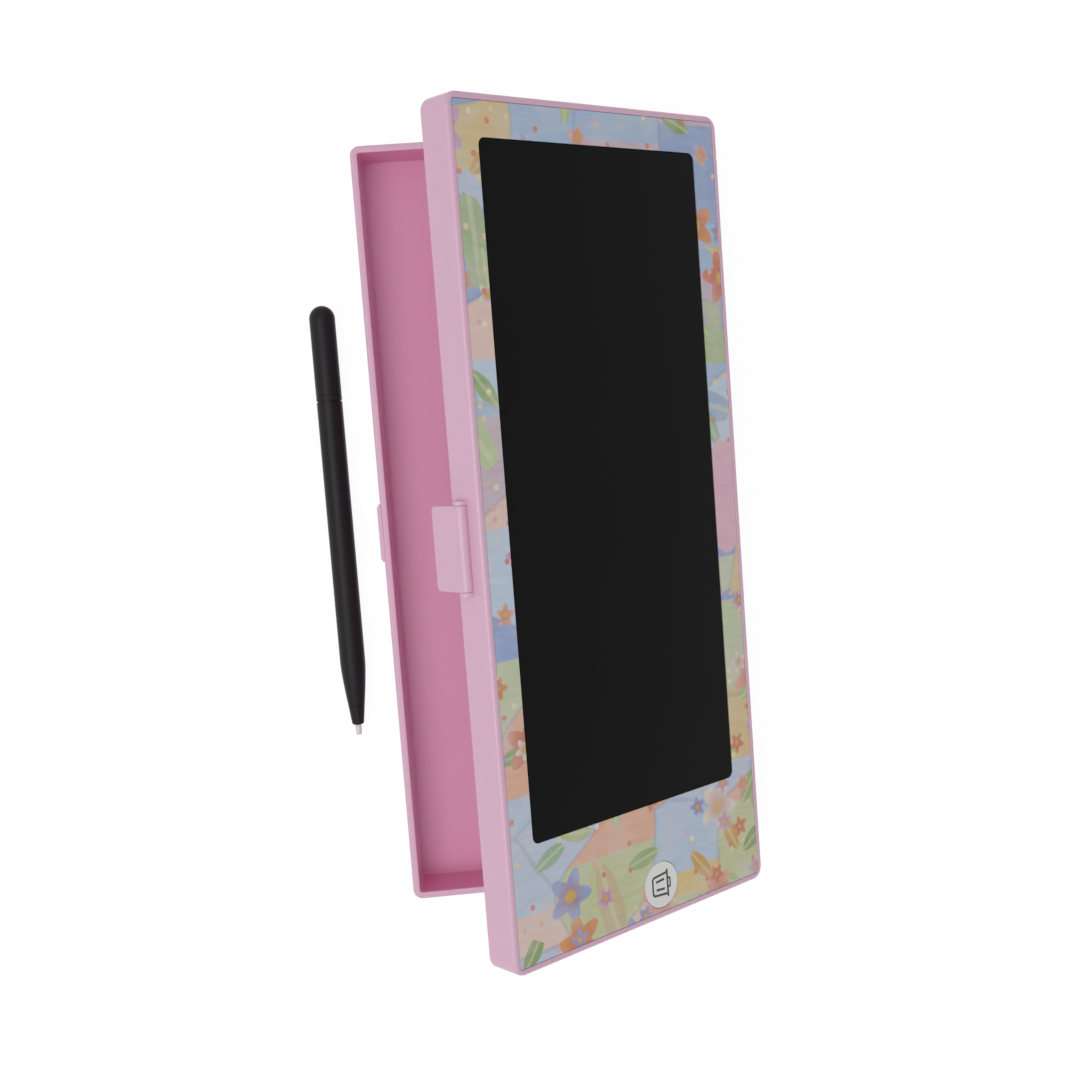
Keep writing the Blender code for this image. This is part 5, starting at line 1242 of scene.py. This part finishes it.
stylus_tree, add, sizes = geometry_tree(
    "turned_stylus_piece", Vector="Place", Int="Sides",
    Float="Start, End, Start Radius, End Radius, Curve, Taper Start, Start Round, Start Depth, "
          "End Round, End Depth, Groove Middle, Groove Half Width, Groove Depth")
distance = add("SeparateXYZ", (add("GeometryNodeInputPosition"),)).outputs["X"]
taper_share = add("MapRange", (distance, sizes["Taper Start"], sizes["End"]))
taper_curved = add("Math", (taper_share, sizes["Curve"]), operation="POWER")
radius = add("MapRange", (taper_curved, 0.0, 1.0, sizes["Start Radius"], sizes["End Radius"]))
for side in ("Start", "End"):
    # Each end is rounded off by a quarter of an ellipse.
    depth = sizes[f"{side} Depth"]
    from_end = add("Math", (distance, sizes[side]), operation="SUBTRACT")
    way_in = add("Math", (from_end,), operation="ABSOLUTE")
    share = add("MapRange", (way_in, 0.0, sizes[f"{side} Round"], 1.0, 0.0))
    turn = add("Math", (share,), operation="ARCCOSINE")
    rise = add("Math", (turn,), operation="SINE")
    least = add("Math", (radius, depth), operation="SUBTRACT")
    radius = add("Math", (rise, depth, least), operation="MULTIPLY_ADD")
in_groove = add("Math", (distance, sizes["Groove Middle"], sizes["Groove Half Width"]),
                operation="COMPARE")
sunk = add("Math", (in_groove, sizes["Groove Depth"]), operation="MULTIPLY")
radius = add("Math", (radius, sunk), operation="SUBTRACT")
spine = add("GeometryNodeMeshToCurve", {"Mesh": sizes["Geometry"]})
outline = add("GeometryNodeCurvePrimitiveCircle", {"Resolution": sizes["Sides"], "Radius": 1.0})
swept = add("GeometryNodeCurveToMesh", {"Curve": spine, "Profile Curve": outline,
                                        "Scale": radius, "Fill Caps": True})
closed = add("GeometryNodeMergeByDistance", {"Geometry": swept, "Distance": MERGE_DISTANCE})
close_tree(add, closed, sizes["Place"], sizes["Material"])
stylus_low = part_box("stylus_cap")[0]
stylus_place = Vector((stylus_low.x, stylus_low.y + STYLUS_RADIUS, STYLUS_RADIUS))


def stylus_piece(name, material, start, end, radii, rounds, taper_start=None, groove=False):
    """One turned piece, with its stations closer together at its ends and at its groove."""
    spots = [start + (end - start) * i / STYLUS_STATIONS for i in range(STYLUS_STATIONS + 1)]
    for middle, reach in ((start, rounds[0][0]), (end, -rounds[1][0])):
        spots += [middle + reach * (1 - cos(pi / 2 * i / STYLUS_ROUND_STATIONS))
                  for i in range(STYLUS_ROUND_STATIONS + 1)]
    if groove:
        spots += [GROOVE_AT + lean + wall for wall in (0.0, GROOVE_WIDTH)
                  for lean in (-SLIVER, SLIVER)]
    if taper_start:
        spots += [taper_start + (end - taper_start) * i / STYLUS_STATIONS
                  for i in range(STYLUS_STATIONS)]
    spine = bmesh.new()
    verts = [spine.verts.new((spot, 0.0, 0.0)) for spot in sorted(spots)]
    bmesh.ops.remove_doubles(spine, verts=verts, dist=SLIVER / 2)
    verts = sorted(spine.verts, key=lambda vert: vert.co.x)
    for pair in zip(verts, verts[1:]):
        spine.edges.new(pair)
    piece = grow(make_object(name, spine), stylus_tree, {
        "Material": material, "Place": stylus_place, "Start": start, "End": end,
        "Start Radius": radii[0], "End Radius": radii[1],
        "Curve": STYLUS_TAPER_CURVE if taper_start else 1.0,
        "Taper Start": taper_start or start,
        "Start Round": max(rounds[0][0], SLIVER), "Start Depth": rounds[0][1],
        "End Round": max(rounds[1][0], SLIVER), "End Depth": rounds[1][1],
        "Groove Middle": GROOVE_AT + GROOVE_WIDTH / 2, "Groove Half Width": GROOVE_WIDTH / 2,
        "Groove Depth": GROOVE_DEPTH if groove else 0.0, "Sides": STYLUS_SIDES})
    bm = bmesh.new()
    bm.from_mesh(piece.data)
    bmesh.ops.recalc_face_normals(bm, faces=bm.faces)
    bm.to_mesh(piece.data)
    bm.free()
    return piece


def stylus_drum(start, end, radius):
    """A spigot or a bore on the stylus's axis, between two distances from its dome."""
    return drum(stylus_place + Vector((start, 0.0, 0.0)), radius, end - start, along_x=True)


seam = STYLUS_LENGTH - STYLUS_NOSE
half_gap = STYLUS_SEAM_GAP / 2
nib_start = STYLUS_LENGTH - NIB_SHANK
no_edge = (0.0, 0.0)
seam_edge = (STYLUS_SEAM_EDGE, STYLUS_SEAM_EDGE)
cap_end, nose_start = STYLUS_CAP + CAP_SPIGOT_LENGTH, seam - NOSE_SPIGOT_LENGTH
cap = stylus_piece("stylus_domed_cap", black_abs, 0.0, STYLUS_CAP - half_gap,
                   (STYLUS_RADIUS, STYLUS_RADIUS), ((STYLUS_DOME, STYLUS_RADIUS), seam_edge))
join(cap, stylus_drum(STYLUS_CAP - EMBED, cap_end, CAP_SPIGOT_RADIUS))
stem = stylus_piece("stylus_tapered_barrel", black_abs, STYLUS_CAP + half_gap, seam - half_gap,
                    (STYLUS_RADIUS, STYLUS_SEAM_RADIUS), (seam_edge, seam_edge),
                    seam - STYLUS_TAPER, groove=True)
cut(stem,
    stylus_drum(STYLUS_CAP - OVERRUN, cap_end + FIT, CAP_SPIGOT_RADIUS + FIT),
    stylus_drum(nose_start - FIT, seam + OVERRUN, NOSE_SPIGOT_RADIUS + FIT))
nose = stylus_piece("stylus_nose_cone", black_abs, seam + half_gap, STYLUS_LENGTH,
                    (STYLUS_SEAM_RADIUS, STYLUS_NOSE_RADIUS),
                    (seam_edge, (STYLUS_NOSE_ROUND, STYLUS_NOSE_ROUND)))
join(nose, stylus_drum(nose_start, seam + EMBED, NOSE_SPIGOT_RADIUS))
cut(nose, stylus_drum(nib_start - FIT, STYLUS_LENGTH + OVERRUN, NIB_BORE))
nib = stylus_piece("stylus_writing_nib", grey_acetal, nib_start, STYLUS_LENGTH + NIB_REACH,
                   (NIB_RADIUS, NIB_TIP_RADIUS), (no_edge, (NIB_ROUND, NIB_ROUND)),
                   STYLUS_LENGTH)
for piece, slot, node in ((cap, "black_plastic", "stylus_cap"),
                          (stem, "black_plastic", "stylus_barrel"),
                          (nose, "black_plastic", "stylus_nose"),
                          (nib, "grey_nib", "stylus_nib")):
    fit(piece, "stylus", slot, node)
